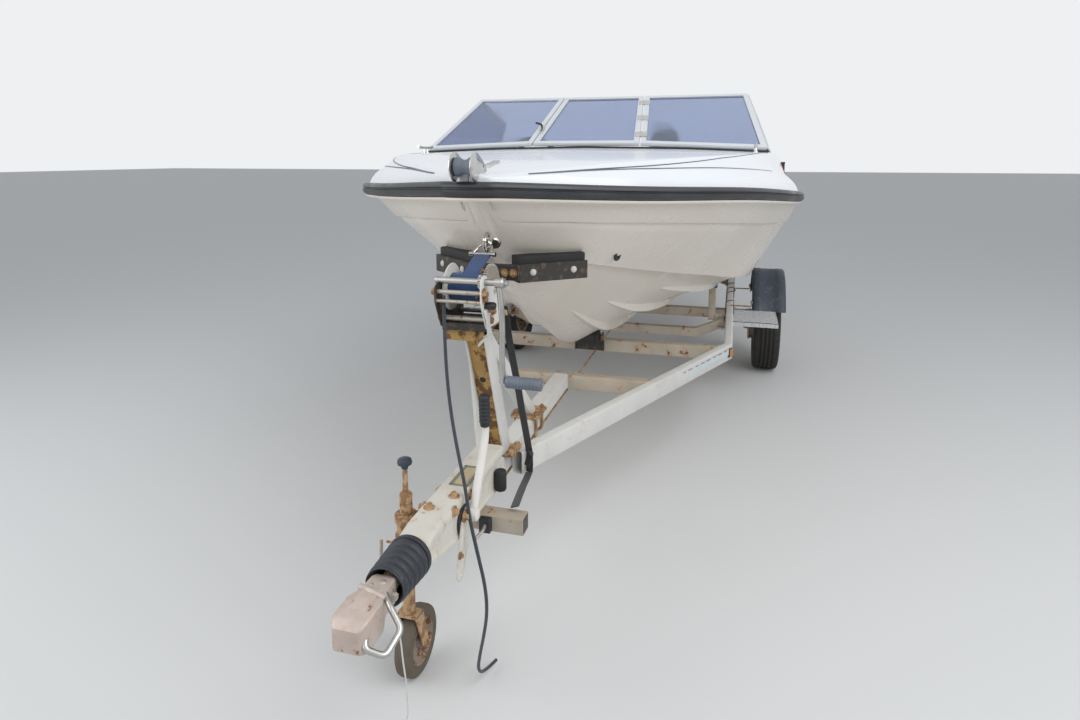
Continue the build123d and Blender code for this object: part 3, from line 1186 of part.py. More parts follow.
TIE = [(3090, 67, 1030), (2936, 87, 558), (2936, 87, 478), (3170, 118, 490)]

parts = {}
parts["hull"] = make_hull()
parts["deck"] = make_deck()
parts["rub_rail"] = make_rub_rail()
parts["cockpit_liner"] = make_cockpit_liner()
parts["motor_well"] = make_motor_well()
parts["dashboard"] = make_dashboard() + make_steering_column()
parts["steering_wheel"] = make_steering_wheel()
parts["seat_bases"], parts["seat_cushions"] = make_seats()
(parts["screen_frame"], parts["screen_glass"], parts["centre_screen_frame"],
 parts["centre_screen_glass"]) = make_windscreen()
parts["bow_roller_cheeks"], parts["bow_roller"] = make_bow_roller()
(parts["cleats"], parts["bow_eye"], parts["port_lamp"], parts["starboard_lamp"]) = make_deck_fittings()
parts["clamp_bracket"] = make_clamp_bracket()
parts["swivel_bracket"] = make_swivel_bracket()
parts["motor_leg"] = make_motor_leg()
parts["motor_cowl"], parts["powerhead"] = make_motor_cowl()
parts["propeller"] = make_propeller()
parts["side_rails"] = make_side_rails()
parts["crossmembers"] = make_crossmembers()
parts["drawbar"] = make_drawbar()
parts["axle"] = make_axle()
for name, side in (("port", 1), ("starboard", -1)):
    parts[name + "_tyre"], parts[name + "_rim"] = make_wheel(side)
parts["mudguards"] = make_mudguards()
parts["guard_stays"] = make_guard_stays()
parts["step_plates"] = make_step_plates()
parts["hull_posts"], parts["hull_pads"] = make_hull_supports()
parts["keel_rollers"], parts["roller_brackets"] = make_keel_rollers()
parts["winch_post"] = make_winch_post()
parts["winch_frame"], parts["winch_drum"] = make_winch()
parts["snubber_pads"], snubber_arms = make_snubber()
snubber_arms = (snubber_arms - parts["winch_post"]).solids()
parts["snubber_arms"] = max(snubber_arms, key=lambda s: s.volume)
parts["winch_crank"], parts["crank_grip"] = make_crank()
parts["winch_strap"] = make_strap()
parts["hitch_housing"] = make_hitch()
parts["coupling_head"] = make_coupling()
parts["hitch_bellows"] = make_bellows()
parts["handbrake_lever"], parts["handbrake_grip"] = make_handbrake()
(parts["jockey_clamp"], parts["jockey_leg"], parts["jockey_fork"],
 parts["jockey_wheel"]) = make_jockey()
parts["brake_rod"] = make_brake_rod()
parts["winch_rope"] = cord(ROPE, ROPE_DIAMETER)
parts["breakaway_cable"] = cord(BREAKAWAY, CABLE_DIAMETER)
cords = ("winch_rope", "breakaway_cable")

box = Compound([solid for name, part in parts.items() if name not in cords
                for solid in part.solids()]).bounding_box()
origin = Pos(-(box.min.X + box.max.X) / 2, -(box.min.Y + box.max.Y) / 2, -box.min.Z)
os.makedirs("parts", exist_ok=True)
for name, part in parts.items():
    export_step(origin * group(part), f"parts/{name}.step")
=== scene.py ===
"""A five metre speedboat on its road trailer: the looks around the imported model."""
import random
from collections import namedtuple
from functools import partial
from math import acos, asin, atan2, cos, exp, hypot, pi, radians, sin

import bmesh
import bpy
from mathutils import Matrix, Vector


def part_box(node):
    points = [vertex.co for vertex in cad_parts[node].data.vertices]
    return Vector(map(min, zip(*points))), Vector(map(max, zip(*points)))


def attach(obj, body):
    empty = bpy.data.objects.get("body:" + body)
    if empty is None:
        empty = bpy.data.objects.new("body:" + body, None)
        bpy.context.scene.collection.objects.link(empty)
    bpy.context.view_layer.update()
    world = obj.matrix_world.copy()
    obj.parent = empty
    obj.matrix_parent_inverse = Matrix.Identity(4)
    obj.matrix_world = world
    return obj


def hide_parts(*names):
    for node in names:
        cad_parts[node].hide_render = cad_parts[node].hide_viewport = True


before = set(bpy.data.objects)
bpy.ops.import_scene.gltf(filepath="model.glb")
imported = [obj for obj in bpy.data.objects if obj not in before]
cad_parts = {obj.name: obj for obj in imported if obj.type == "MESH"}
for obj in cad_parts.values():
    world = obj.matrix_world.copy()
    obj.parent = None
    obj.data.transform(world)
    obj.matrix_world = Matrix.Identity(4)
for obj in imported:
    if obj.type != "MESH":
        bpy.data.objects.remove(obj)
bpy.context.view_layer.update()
chance = random.Random(7)

TRAILER = "boat_and_trailer"

# Places below are in millimetres from the trailer's axle: X forward, Y to port, Z up from the ground.
AHEAD, AFT, PORT, STARBOARD = (1, 0, 0), (-1, 0, 0), (0, 1, 0), (0, -1, 0)
UP, DOWN = (0, 0, 1), (0, 0, -1)
tyre_low, tyre_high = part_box("port_tyre")
AXLE_X = (tyre_low.x + tyre_high.x) / 2


def metres(point):
    """A place in millimetres as a point of the frame."""
    return Vector((point[0] / 1000 + AXLE_X, point[1] / 1000, point[2] / 1000))


def in_scene(name, data):
    """A new object in the scene that holds this data."""
    item = bpy.data.objects.new(name, data)
    bpy.context.scene.collection.objects.link(item)
    return item


def aim(item, place, look):
    """Sets a camera or lamp at a place, facing along a direction."""
    item.matrix_world = (Matrix.Translation(place) @ look.to_track_quat("-Z", "Y").to_matrix().to_4x4())


# Camera: at a standing person's chest, close ahead of the hitch and to port of it
CAMERA_PLACE = (4840, 660, 1440)
CAMERA_YAW = 195.7
CAMERA_PITCH = 8.8
CAMERA_LENS = 23.0
CAMERA_SHIFT_Y = -0.0907


def make_camera():
    """The camera at the photograph's angle, with its lens."""
    data = bpy.data.cameras.new("camera")
    data.lens = CAMERA_LENS
    data.sensor_width = 36
    data.shift_y = CAMERA_SHIFT_Y
    data.clip_end = 200
    yaw, pitch = radians(CAMERA_YAW), radians(CAMERA_PITCH)
    look = Vector((cos(yaw) * cos(pitch), sin(yaw) * cos(pitch), -sin(pitch)))
    camera = in_scene("camera", data)
    aim(camera, metres(CAMERA_PLACE), look)
    bpy.context.scene.camera = camera


make_camera()


# Node trees
def linear(code):
    """An sRGB hex colour as linear RGBA."""
    values = [int(code[i:i + 2], 16) / 255 for i in (1, 3, 5)]
    return tuple(v / 12.92 if v <= 0.04045 else ((v + 0.055) / 1.055) ** 2.4 for v in values) + (1.0,)


def add_node(tree, kind, inputs=None, **settings):
    """A node with its settings; an input is a value, a socket or the node whose result it takes."""
    node = tree.nodes.new("ShaderNode" + kind)
    for key, value in settings.items():
        setattr(node, key, value)
    for key, value in (inputs or {}).items():
        if isinstance(value, bpy.types.Node):
            value = next(socket for socket in value.outputs if socket.enabled)
        if isinstance(value, bpy.types.NodeSocket):
            tree.links.new(value, node.inputs[key])
        else:
            node.inputs[key].default_value = value
    return node


def per_mm(size):
    """The scale of a pattern whose features are this many millimetres across."""
    return 1000 / size


def blank_material(name):
    """A new material, and the call that adds nodes to it."""
    material = bpy.data.materials.new(name)
    material.use_nodes = True
    material.node_tree.nodes.clear()
    return material, partial(add_node, material.node_tree)


STAIN_STRETCH = 8
FLAKE_SIZE = 9


def weathered(name, colour, other, patch, roughness, spread=0.1, metallic=0.0, grain=2.0,
        grain_depth=0.00005, stain=None, stain_share=0.3, sheen=0.0, coat=0.0):
    """A surface of two close colours in soft patches, a fine grain, and stains that run down."""
    material, add = blank_material(name)
    place = add("TexCoord").outputs["Object"]
    patches = add("TexNoise", {"Vector": place, "Scale": per_mm(patch), "Detail": 6.0, "Roughness": 0.6})
    tone = add("Mix", {"Factor": patches, "A": linear(colour), "B": linear(other)}, data_type="RGBA")
    if stain:
        run = add("Mapping", {"Vector": place, "Scale": (1.0, 1.0, 1 / STAIN_STRETCH)})
        streaks = add("TexNoise", {"Vector": run, "Scale": per_mm(patch / 6), "Detail": 8.0,
            "Roughness": 0.65})
        amount = add("MapRange", {"Value": streaks, "From Min": 0.62 - stain_share / 2, "From Max": 0.85,
            "To Max": 0.75})
        tone = add("Mix", {"Factor": amount, "A": tone, "B": linear(stain)}, data_type="RGBA")
    rough = add("MapRange", {"Value": patches, "From Min": 0.3, "From Max": 0.7,
        "To Min": roughness - spread, "To Max": roughness + spread})
    fine = add("TexNoise", {"Vector": place, "Scale": per_mm(grain), "Detail": 3.0})
    bump = add("Bump", {"Height": fine, "Distance": grain_depth, "Strength": 1.0})
    shader = add("BsdfPrincipled", {"Base Color": tone, "Metallic": metallic, "Roughness": rough,
        "Normal": bump, "Sheen Weight": sheen, "Coat Weight": coat})
    add("OutputMaterial", {"Surface": shader})
    return material


def rusting(name, coat, grime, rust_share, patch=60, metallic=0.0, roughness=0.55, rust="#7D5334",
        dark_rust="#4E3624"):
    """Coated steel that has gone to rust in patches: grimy coat, brown rust and a raised edge."""
    material, add = blank_material(name)
    place = add("TexCoord").outputs["Object"]
    soft = add("TexNoise", {"Vector": place, "Scale": per_mm(patch * 2.2), "Detail": 5.0})
    coated = add("Mix", {"Factor": soft, "A": linear(coat), "B": linear(grime)}, data_type="RGBA")
    spots = add("TexNoise", {"Vector": place, "Scale": per_mm(patch), "Detail": 9.0, "Roughness": 0.68})
    edge = 0.72 - 0.42 * rust_share
    bare = add("MapRange", {"Value": spots, "From Min": edge, "From Max": edge + 0.05})
    halo = add("MapRange", {"Value": spots, "From Min": edge - 0.12, "From Max": edge, "To Max": 0.3})
    flakes = add("TexNoise", {"Vector": place, "Scale": per_mm(FLAKE_SIZE), "Detail": 6.0,
        "Roughness": 0.7})
    rusty = add("Mix", {"Factor": flakes, "A": linear(rust), "B": linear(dark_rust)}, data_type="RGBA")
    tinted = add("Mix", {"Factor": halo, "A": coated, "B": linear("#B98A5E")}, data_type="RGBA")
    tone = add("Mix", {"Factor": bare, "A": tinted, "B": rusty}, data_type="RGBA")
    rough = add("MapRange", {"Value": bare, "To Min": roughness, "To Max": 0.85})
    metal = add("MapRange", {"Value": bare, "To Min": metallic, "To Max": 0.0})
    height = add("Math", {0: flakes, 1: bare}, operation="MULTIPLY")
    bump = add("Bump", {"Height": height, "Distance": 0.0008})
    shader = add("BsdfPrincipled", {"Base Color": tone, "Roughness": rough, "Metallic": metal,
        "Normal": bump})
    add("OutputMaterial", {"Surface": shader})
    return material


def tinted_acrylic():
    """Cast acrylic sheet, blue with age: clear, glossy, with a film of dust."""
    material, add = blank_material("tinted_acrylic_sheet")
    place = add("TexCoord").outputs["Object"]
    film = add("TexNoise", {"Vector": place, "Scale": per_mm(160), "Detail": 7.0, "Roughness": 0.65})
    rough = add("MapRange", {"Value": film, "From Min": 0.4, "From Max": 0.75, "To Min": 0.02,
        "To Max": 0.16})
    shader = add("BsdfPrincipled", {"Base Color": linear("#9AA9CB"), "Roughness": rough, "IOR": 1.49,
        "Transmission Weight": 0.9})
    add("OutputMaterial", {"Surface": shader})
    return material


M = {
    # Gelcoat: glossy moulded polyester, chalked with age and streaked by rain
    "hull": weathered("moulded_gelcoat_cream", "#E3DCD2", "#D6CDC0", 420, 0.30, 0.08, grain=3,
        grain_depth=0.00001, coat=0.25),
    "deck": weathered("moulded_gelcoat_white", "#E2E5E9", "#D9DCE0", 380, 0.26, 0.06, grain=3,
        grain_depth=0.00001, coat=0.25),
    # Painted shade: a dark satin line that stands for the shade in the deck's shoulder crease, in two
    # greys in patches
    "line_tape": weathered("dark_vinyl_line_tape", "#4B4D57", "#676A74", 60, 0.4, 0.05),
    # Satin liner moulding, with dirt in its speckle
    "liner": weathered("moulded_liner_satin", "#D8D8D2", "#C6C6BF", 90, 0.5, 0.08, grain=1.5,
        stain="#7F7B70", stain_share=0.15),
    # Extruded vinyl fender section: soft black, chalky where it has rubbed
    "rub_rail": weathered("black_vinyl_extrusion", "#1B1C1E", "#3E4044", 130, 0.42, 0.12, grain=1.2,
        grain_depth=0.0001),
    # Grained vinyl cover and its welted piping: satin, with grime in the grain. Grain drawn coarse
    "vinyl": weathered("grained_seat_vinyl", "#9EA3A9", "#8C9197", 150, 0.48, 0.06, grain=1.4,
        grain_depth=0.00025, stain="#5F6261", stain_share=0.12),
    "piping": weathered("seat_piping_vinyl", "#3C4A66", "#303B52", 60, 0.45, 0.05, grain=1.4),
    # Moulded ABS: black with a spark eroded texture that breaks up its shine, drawn coarse
    "abs": weathered("moulded_abs_black", "#1B1D20", "#26282B", 120, 0.45, 0.08, grain=1.0,
        grain_depth=0.00012),
    # Anodised extrusion: pale and satin, so that it reflects softly
    "anodised": weathered("anodised_aluminium_extrusion", "#E2E5E8", "#D2D6DA", 90, 0.42, 0.08,
        metallic=0.55, grain=0.8, grain_depth=0.00002),
    # Polished stainless castings and bar: a clear reflection with a few dull, tea stained spots
    "stainless": weathered("polished_stainless", "#D6D5D2", "#B9B6B0", 30, 0.16, 0.08, metallic=1.0,
        grain=1.0, grain_depth=0.00001),
    # Moulded rubber, greyed by sun; tyre rubber is duller still, with road dust in its tread
    "rubber": weathered("weathered_black_rubber", "#1A1A1B", "#2E2E2F", 40, 0.72, 0.1, grain=1.2,
        grain_depth=0.0002),
    "tyre": weathered("worn_tyre_rubber", "#18181A", "#37342F", 60, 0.82, 0.08, grain=1.6,
        grain_depth=0.0003),
    # Moulded acrylic lamp lenses: deep colour, glossy, dulled a little
    "red_lens": weathered("red_moulded_lens", "#5A0B0E", "#3C0709", 20, 0.2, 0.05),
    "green_lens": weathered("green_moulded_lens", "#0B4A24", "#083518", 20, 0.2, 0.05),
    "amber_lens": weathered("amber_moulded_lens", "#B98446", "#A06A34", 15, 0.3, 0.05),
    # Sprayed marine enamel on aluminium: black and glossy, with soft orange peel
    "enamel": weathered("black_marine_enamel", "#17181A", "#232529", 150, 0.34, 0.08, grain=1.5,
        grain_depth=0.00004, coat=0.3),
    # Sand cast aluminium, bare: grey metal with a pebbled skin
    "cast": weathered("cast_aluminium_grey", "#7D8085", "#66696E", 25, 0.5, 0.08, metallic=0.9,
        grain=1.6, grain_depth=0.0002),
    # Hot dip galvanising, gone white and chalky, freckled with rust
    "galvanised": rusting("weathered_galvanising", "#D8D8D5", "#C3C2BE", 0.10, 55),
    # The same coat where water stands and it has broken down
    "rusty_galv": rusting("rust_patched_galvanising", "#C2BAAC", "#958B7B", 0.3, 60),
    # Mild steel that has lost its coat: matt tan rust with darker scale
    "rusty": rusting("rusted_mild_steel", "#BFA583", "#A28565", 0.6, 26, roughness=0.75, rust="#9B7855",
        dark_rust="#77583D"),
    # Yellow passivated pressing, half of it stained to rust by water that ran down it
    "yellowed": rusting("rust_stained_post", "#BF9D55", "#7F6437", 0.52, 48, roughness=0.65,
        rust="#7A5730", dark_rust="#4C3724"),
    # Black painted steel under dry grime, with rust at its edges
    "dark_steel": rusting("grimy_black_steel", "#262524", "#35312D", 0.16, 24, roughness=0.6,
        rust="#54402F", dark_rust="#3A2C22"),
    # Moulded polyethylene guard: slate, matt, splashed with dried mud
    "guard": weathered("moulded_guard_slate", "#39414F", "#303743", 120, 0.55, 0.1, grain=1.5,
        grain_depth=0.00012, stain="#7A7A74", stain_share=0.16),
    # Rolled aluminium tread plate: dull silver with dirt between its bars
    "chequer": weathered("aluminium_tread_plate", "#D3D5D8", "#BEC0C3", 50, 0.5, 0.1, metallic=0.3,
        grain=1.0, grain_depth=0.00005, stain="#6F6C66"),
    # Moulded blue rubber pad: matt, paler where it chafes
    "blue_pad": weathered("blue_moulded_rubber", "#22456E", "#1A3454", 60, 0.6, 0.1, grain=1.6,
        grain_depth=0.0002),
    # Adhesive vinyl tape: faded by sun, cracked and grimy in the cracks
    "faded_stripe": weathered("faded_vinyl_tape", "#B9CBD2", "#CBD3D4", 40, 0.5, 0.08, grain=1.4,
        stain="#8E8577", stain_share=0.2),
    "faded_red": weathered("faded_red_vinyl_tape", "#7D4340", "#9A6A64", 30, 0.5, 0.08),
    # Extruded PVC insulation: satin, dirty
    "red_wire": weathered("red_pvc_insulation", "#7E1D20", "#5C2426", 30, 0.45, 0.05),
    "brown_wire": weathered("brown_pvc_insulation", "#2F2620", "#4A3C32", 30, 0.5, 0.05),
    # Zinc plated fasteners, dull, with rust starting at their corners
    "plated": rusting("zinc_plated_steel", "#B9B6AE", "#9C978C", 0.3, 14, metallic=0.6, roughness=0.45),
    # Painted wheel steel: grey paint that lifts off rust in small scabs
    "wheel_steel": rusting("painted_wheel_steel", "#8C857C", "#6F685F", 0.42, 30, roughness=0.6),
    # Painted pressing: off white enamel, chipped to rust at its edges and bolts
    "hitch_paint": rusting("chipped_white_enamel", "#D9D7CF", "#BDB9AC", 0.2, 34),
    "white_paint": rusting("white_enamelled_tube", "#E4E2DE", "#CFCBC4", 0.08, 30),
    # Zinc flange of the spool: pale grey, with a bloom of white corrosion
    "spool_white": rusting("zinc_spool", "#D2D2CE", "#B4B4AE", 0.06, 30),
    # Cast iron, once painted, polished by use and pink with old primer
    "casting": rusting("worn_cast_iron", "#CFC1B8", "#A99A91", 0.24, 20, metallic=0.3, roughness=0.5,
        rust="#8A6E5C", dark_rust="#5A4439"),
    # Steel bar that hands keep bright: a soft reflection
    "bright_steel": weathered("hand_polished_steel", "#C6C5C3", "#A19F9B", 20, 0.34, 0.1, metallic=1.0,
        grain=1.0, grain_depth=0.00003),
    # Plain steel under a dry, tan film of old grease
    "tan_plate": weathered("stained_plate", "#C9B899", "#B09C7C", 30, 0.6, 0.08, grain=1.5,
        stain="#7A5A3A", stain_share=0.2),
    # Sealant bead that moss has grown into: matt and crumbly
    "moss": weathered("mossy_sealant", "#6E7060", "#8C8A76", 12, 0.85, 0.05, grain=1.2,
        grain_depth=0.0003),
    # Moulded gaiter rubber, dark with a grey bloom; solid tyre rubber under dried mud
    "gaiter_rubber": weathered("ribbed_gaiter_rubber", "#202329", "#2E3239", 50, 0.55, 0.1, grain=1.4,
        grain_depth=0.00012, stain="#6F7072", stain_share=0.1),
    "dusty_rubber": weathered("dusty_solid_rubber", "#685E50", "#504A40", 25, 0.85, 0.05, grain=1.6,
        grain_depth=0.0003),
    # Moulded phenolic knob: dark blue, worn to a satin
    "knob_blue": weathered("moulded_dark_blue_knob", "#252C38", "#38414F", 18, 0.4, 0.1, grain=1.0),
    # Needle felt carpet: matt, with loose fibre
    "carpet": weathered("needle_felt_carpet", "#55606E", "#48525F", 60, 0.95, 0.03, grain=1.8,
        grain_depth=0.001, sheen=0.4),
    # Braided polyester rope: matt and fuzzy. Its plait is drawn as grain, coarser than real
    "rope": weathered("braided_polyester_rope", "#3F444C", "#2C3036", 12, 0.85, 0.05, grain=1.6,
        grain_depth=0.0006, sheen=0.2),
    # Woven polyester webbing: dry and slightly furry. Its weave is drawn as a coarser grain
    "webbing": weathered("woven_blue_webbing", "#1F4476", "#153257", 25, 0.8, 0.05, grain=1.2,
        grain_depth=0.0003, sheen=0.3),
    "black_webbing": weathered("woven_black_webbing", "#191A1D", "#24262A", 25, 0.85, 0.05, grain=1.2,
        grain_depth=0.0003, sheen=0.3),
    # Moulded rubber and dipped PVC grips: dull black, and grey with a greasy sheen
    "grip": weathered("ribbed_black_grip", "#17181A", "#2C2D30", 18, 0.6, 0.08, grain=1.0),
    "grey_grip": weathered("grey_pvc_grip", "#6E7681", "#575E68", 40, 0.45, 0.08, grain=1.0),
    "acrylic": tinted_acrylic(),
}

# The solids that show as they are
CAD_FINISH = {
    "cockpit_liner": "liner", "motor_well": "liner", "dashboard": "abs", "seat_bases": "liner",
    "screen_frame": "anodised", "screen_glass": "acrylic", "centre_screen_frame": "anodised",
    "centre_screen_glass": "acrylic", "clamp_bracket": "enamel", "swivel_bracket": "enamel",
    "powerhead": "cast", "hull_pads": "blue_pad", "roller_brackets": "dark_steel",
}

for node_name, cad_finish in CAD_FINISH.items():
    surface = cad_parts[node_name].data
    surface.materials.clear()
    surface.materials.append(M[cad_finish])


# Meshes
def mesh_piece(name, points, faces):
    """An object from points in millimetres, its faces all turned outwards."""
    mesh = bpy.data.meshes.new(name)
    mesh.from_pydata([metres(p) for p in points], [], faces)
    turned = bmesh.new()
    turned.from_mesh(mesh)
    bmesh.ops.recalc_face_normals(turned, faces=turned.faces)
    turned.to_mesh(mesh)
    turned.free()
    return in_scene(name, mesh)


def part(name, form, finish, slot, *nodes, body=TRAILER, sharp=35, bevel=0.0):
    """A finished piece: its points and faces, smooth but for edges sharper than the angle, its finish,
    the record's slot (not used), the CAD nodes that it stands for and the body that carries it."""
    piece = mesh_piece(name, *form)
    piece.data.materials.append(M[finish])
    piece.data.shade_smooth()
    piece.data.set_sharp_from_angle(angle=radians(sharp))
    if bevel:
        rounding = piece.modifiers.new("rounding", "BEVEL")
        rounding.width = bevel / 1000
        rounding.segments = 2
        rounding.limit_method = "ANGLE"
        rounding.angle_limit = radians(40)
    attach(piece, body)
    if nodes:
        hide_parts(*nodes)
    return piece


def cord_curve(name, route, diameter, finish):
    """A loose line as a smooth spline with the route's points as its control points."""
    data = bpy.data.curves.new(name, "CURVE")
    data.dimensions = "3D"
    data.bevel_depth = diameter / 2000
    data.bevel_resolution = 4
    data.resolution_u = 12
    data.use_fill_caps = True
    spline = data.splines.new("NURBS")
    spline.points.add(len(route) - 1)
    for point, place in zip(spline.points, route):
        point.co = (*metres(place), 1.0)
    spline.order_u = 3
    spline.use_endpoint_u = True
    data.materials.append(M[finish])
    piece = in_scene(name, data)
    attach(piece, TRAILER)
    return piece


# Cords come first
WINCH_ROPE = [(3244, -44, 1087), (3254, -40, 945), (3270, -22, 800), (3300, 10, 695),
              (3336, 42, 632), (3360, 64, 550), (3360, 84, 460), (3348, 98, 370),
              (3336, 98, 290), (3316, 80, 205), (3286, 56, 120), (3270, 44, 62),
              (3232, 46, 24), (3172, 62, 21)]
BREAKAWAY = [(3511, -72, 511), (3502, -80, 450), (3492, -76, 395), (3484, -78, 335),
             (3478, -72, 275), (3468, -74, 215), (3462, -70, 155), (3452, -74, 95),
             (3450, -74, 52), (3448, -84, 24), (3454, -110, 19), (3468, -156, 18)]

rope = cord_curve("winch_rope_line", WINCH_ROPE, 9, "rope")
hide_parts("winch_rope")
cable = cord_curve("breakaway_line", BREAKAWAY, 4, "galvanised")
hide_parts("breakaway_cable")


# Forms
# A turned face keeps a pinhole of this radius on its axis, so that it doesn't collapse
CORE = 0.01


def turns(count):
    """This many equal angles once round."""
    return [2 * pi * k / count for k in range(count)]


def skin(rings, closed=True, wrap=False):
    """Points and faces of a skin through rings of points, capped at its ends or run together."""
    rows, columns = len(rings), len(rings[0])
    points = [p for ring in rings for p in ring]
    faces = []
    for i in range(rows if wrap else rows - 1):
        here, ahead = i * columns, (i + 1) % rows * columns
        for j in range(columns if closed else columns - 1):
            beside = (j + 1) % columns
            faces.append((here + j, here + beside, ahead + beside, ahead + j))
    if closed and not wrap:
        faces.append(tuple(range(columns)))
        faces.append(tuple(range(len(points) - columns, len(points))))
    return points, faces


def soften(line, radii, steps=3):
    """A polyline in a plane with its inner corners rounded."""
    result = [line[0]]
    for (ax, ay), (bx, by), (cx, cy), radius in zip(line, line[1:], line[2:], radii):
        before, after = Vector((ax - bx, ay - by)), Vector((cx - bx, cy - by))
        reach = min(radius, 0.45 * before.length, 0.45 * after.length)
        start = Vector((bx, by)) + before.normalized() * reach
        end = Vector((bx, by)) + after.normalized() * reach
        for k in range(steps + 1):
            t = k / steps
            corner = Vector((bx, by))
            result.append(start * (1 - t) ** 2 + corner * 2 * t * (1 - t) + end * t * t)
    result.append(line[-1])
    return result


def evaluated(piece):
    """Takes the piece's modifiers into its mesh."""
    bpy.context.view_layer.update()
    graph = bpy.context.evaluated_depsgraph_get()
    mesh = bpy.data.meshes.new_from_object(piece.evaluated_get(graph))
    piece.modifiers.clear()
    piece.data = mesh


def thicken(piece, wall):
    """Gives a one sided skin its wall, inwards."""
    shell = piece.modifiers.new("shell", "SOLIDIFY")
    shell.thickness = wall / 1000
    shell.offset = -1
    evaluated(piece)


def carve(piece, *forms):
    """Cuts solid forms out of a piece."""
    tools = [mesh_piece("cutter", *form) for form in forms]
    for tool in tools:
        cut = piece.modifiers.new("cut", "BOOLEAN")
        cut.object = tool
        cut.solver = "EXACT"
        cut.operation = "DIFFERENCE"
    evaluated(piece)
    for tool in tools:
        bpy.data.objects.remove(tool)
    piece.data.set_sharp_from_angle(angle=radians(35))


def prism(outline, low, high):
    """Points and faces of an upright solid over a plan outline."""
    return skin([[(x, y, low) for x, y in outline], [(x, y, high) for x, y in outline]])


def crosswise(outline, y_low, y_high):
    """Points and faces of a solid over an outline in x and z, between two values of y."""
    return skin([[(x, y_low, z) for x, z in outline], [(x, y_high, z) for x, z in outline]])


def rounded_plan(x_low, x_high, y_low, y_high, radius, steps=6):
    """A rectangle with round corners."""
    outline = []
    for cx, cy, start in ((x_high - radius, y_high - radius, 0), (x_low + radius, y_high - radius, 90),
            (x_low + radius, y_low + radius, 180), (x_high - radius, y_low + radius, 270)):
        for k in range(steps + 1):
            a = radians(start + 90 * k / steps)
            outline.append((cx + radius * cos(a), cy + radius * sin(a)))
    return outline


def mitre_frames(path):
    """For each point of a path, the two directions across it, longer at the corners."""
    frames = []
    for i, point in enumerate(path):
        here = Vector(point)
        into = (here - Vector(path[i - 1])).normalized() if i else None
        out = (Vector(path[i + 1]) - here).normalized() if i < len(path) - 1 else None
        into, out = into or out, out or into
        across = Vector(UP).cross(into)
        across = Vector(PORT) if across.length < 0.01 else across.normalized()
        up = into.cross(across)
        plane = (into + out).normalized()
        frames.append((here, [v - into * (v.dot(plane) / into.dot(plane)) for v in (across, up)]))
    return frames


def box_tube(path, width, depth, radius=6.0, wall=3.0):
    """Points and faces of a rectangular steel tube with round edges and open ends."""
    def rings(frames, inset, r):
        u_half, v_half = width / 2 - inset, depth / 2 - inset
        loop = rounded_plan(-u_half, u_half, -v_half, v_half, r, 3)
        return [[here + a * u + b * v for u, v in loop] for here, (a, b) in frames]
    frames = mitre_frames(path)
    return skin(rings(frames, 0, radius) + rings(frames[::-1], wall, max(radius - wall, 1.0)), wrap=True)


def round_bar(path, diameter, sides=16, bend=0.0, taper=1.0):
    """Points and faces of a round bar, its corners bent to a radius."""
    smooth = [Vector(path[0])]
    for before, corner, after in zip(path, path[1:], path[2:]):
        before, corner, after = Vector(before), Vector(corner), Vector(after)
        reach = min(bend, 0.48 * (corner - before).length, 0.48 * (after - corner).length)
        if reach < 1:
            smooth.append(corner)
            continue
        start = corner + (before - corner).normalized() * reach
        end = corner + (after - corner).normalized() * reach
        smooth += [start * (1 - t) ** 2 + corner * 2 * t * (1 - t) + end * t * t
            for t in (0, 0.2, 0.4, 0.6, 0.8, 1)]
    smooth.append(Vector(path[-1]))
    across = None
    rings = []
    for i, here in enumerate(smooth):
        into = (here - smooth[i - 1]).normalized() if i else None
        out = (smooth[i + 1] - here).normalized() if i < len(smooth) - 1 else None
        along = ((into or out) + (out or into)).normalized()
        if across is None:
            across = along.orthogonal().normalized()
        across = (across - along * across.dot(along)).normalized()
        other = along.cross(across)
        radius = diameter / 2 * (1 + (taper - 1) * i / (len(smooth) - 1))
        rings.append([here + (across * cos(a) + other * sin(a)) * radius for a in turns(sides)])
    return skin(rings)


def spun(line, centre, axis, sides=48):
    """Points and faces of a turned piece from (radius, distance) points along an axis."""
    axis = Vector(axis).normalized()
    across = axis.orthogonal().normalized()
    other = axis.cross(across)
    centre = Vector(centre)
    rings = []
    for a in turns(sides):
        out = across * cos(a) + other * sin(a)
        rings.append([centre + out * (r or CORE) + axis * d for r, d in line])
    return skin(rings, wrap=True)


def peg(radius, start, end, place, axis, sides):
    """A plain round pin between two distances along its axis."""
    return spun([(0, start), (radius, start), (radius, end), (0, end)], place, axis, sides)


def combined(*pieces):
    """Several (points, faces) as one."""
    points, faces = [], []
    for more_points, more_faces in pieces:
        start = len(points)
        points += list(more_points)
        faces += [tuple(i + start for i in face) for face in more_faces]
    return points, faces


def mirrored(piece):
    """Points and faces of a piece's image across the middle."""
    points, faces = piece
    return [(x, -y, z) for x, y, z in points], [face[::-1] for face in faces]


def both(*pieces):
    """Pieces as one, on both sides of the boat or trailer."""
    whole = combined(*pieces)
    return combined(whole, mirrored(whole))


def brick(x, y, z):
    """A block between two values each of x, y and z."""
    return prism([(x[0], y[0]), (x[1], y[0]), (x[1], y[1]), (x[0], y[1])], *z)


def shifted(points, *shift):
    """Points in a plane or in space, moved."""
    return [tuple(a + b for a, b in zip(point, shift)) for point in points]


def rounded_outline(points, radius, steps=3):
    """A closed outline with every corner rounded."""
    first = tuple((a + b) / 2 for a, b in zip(points[-1], points[0]))
    return soften([first] + list(points) + [first], [radius] * len(points), steps)[:-1]


def plate(outline, y_low, y_high, radius=6.0):
    """A plate cut to an outline in x and z, with round corners."""
    return crosswise(rounded_outline(outline, radius), y_low, y_high)


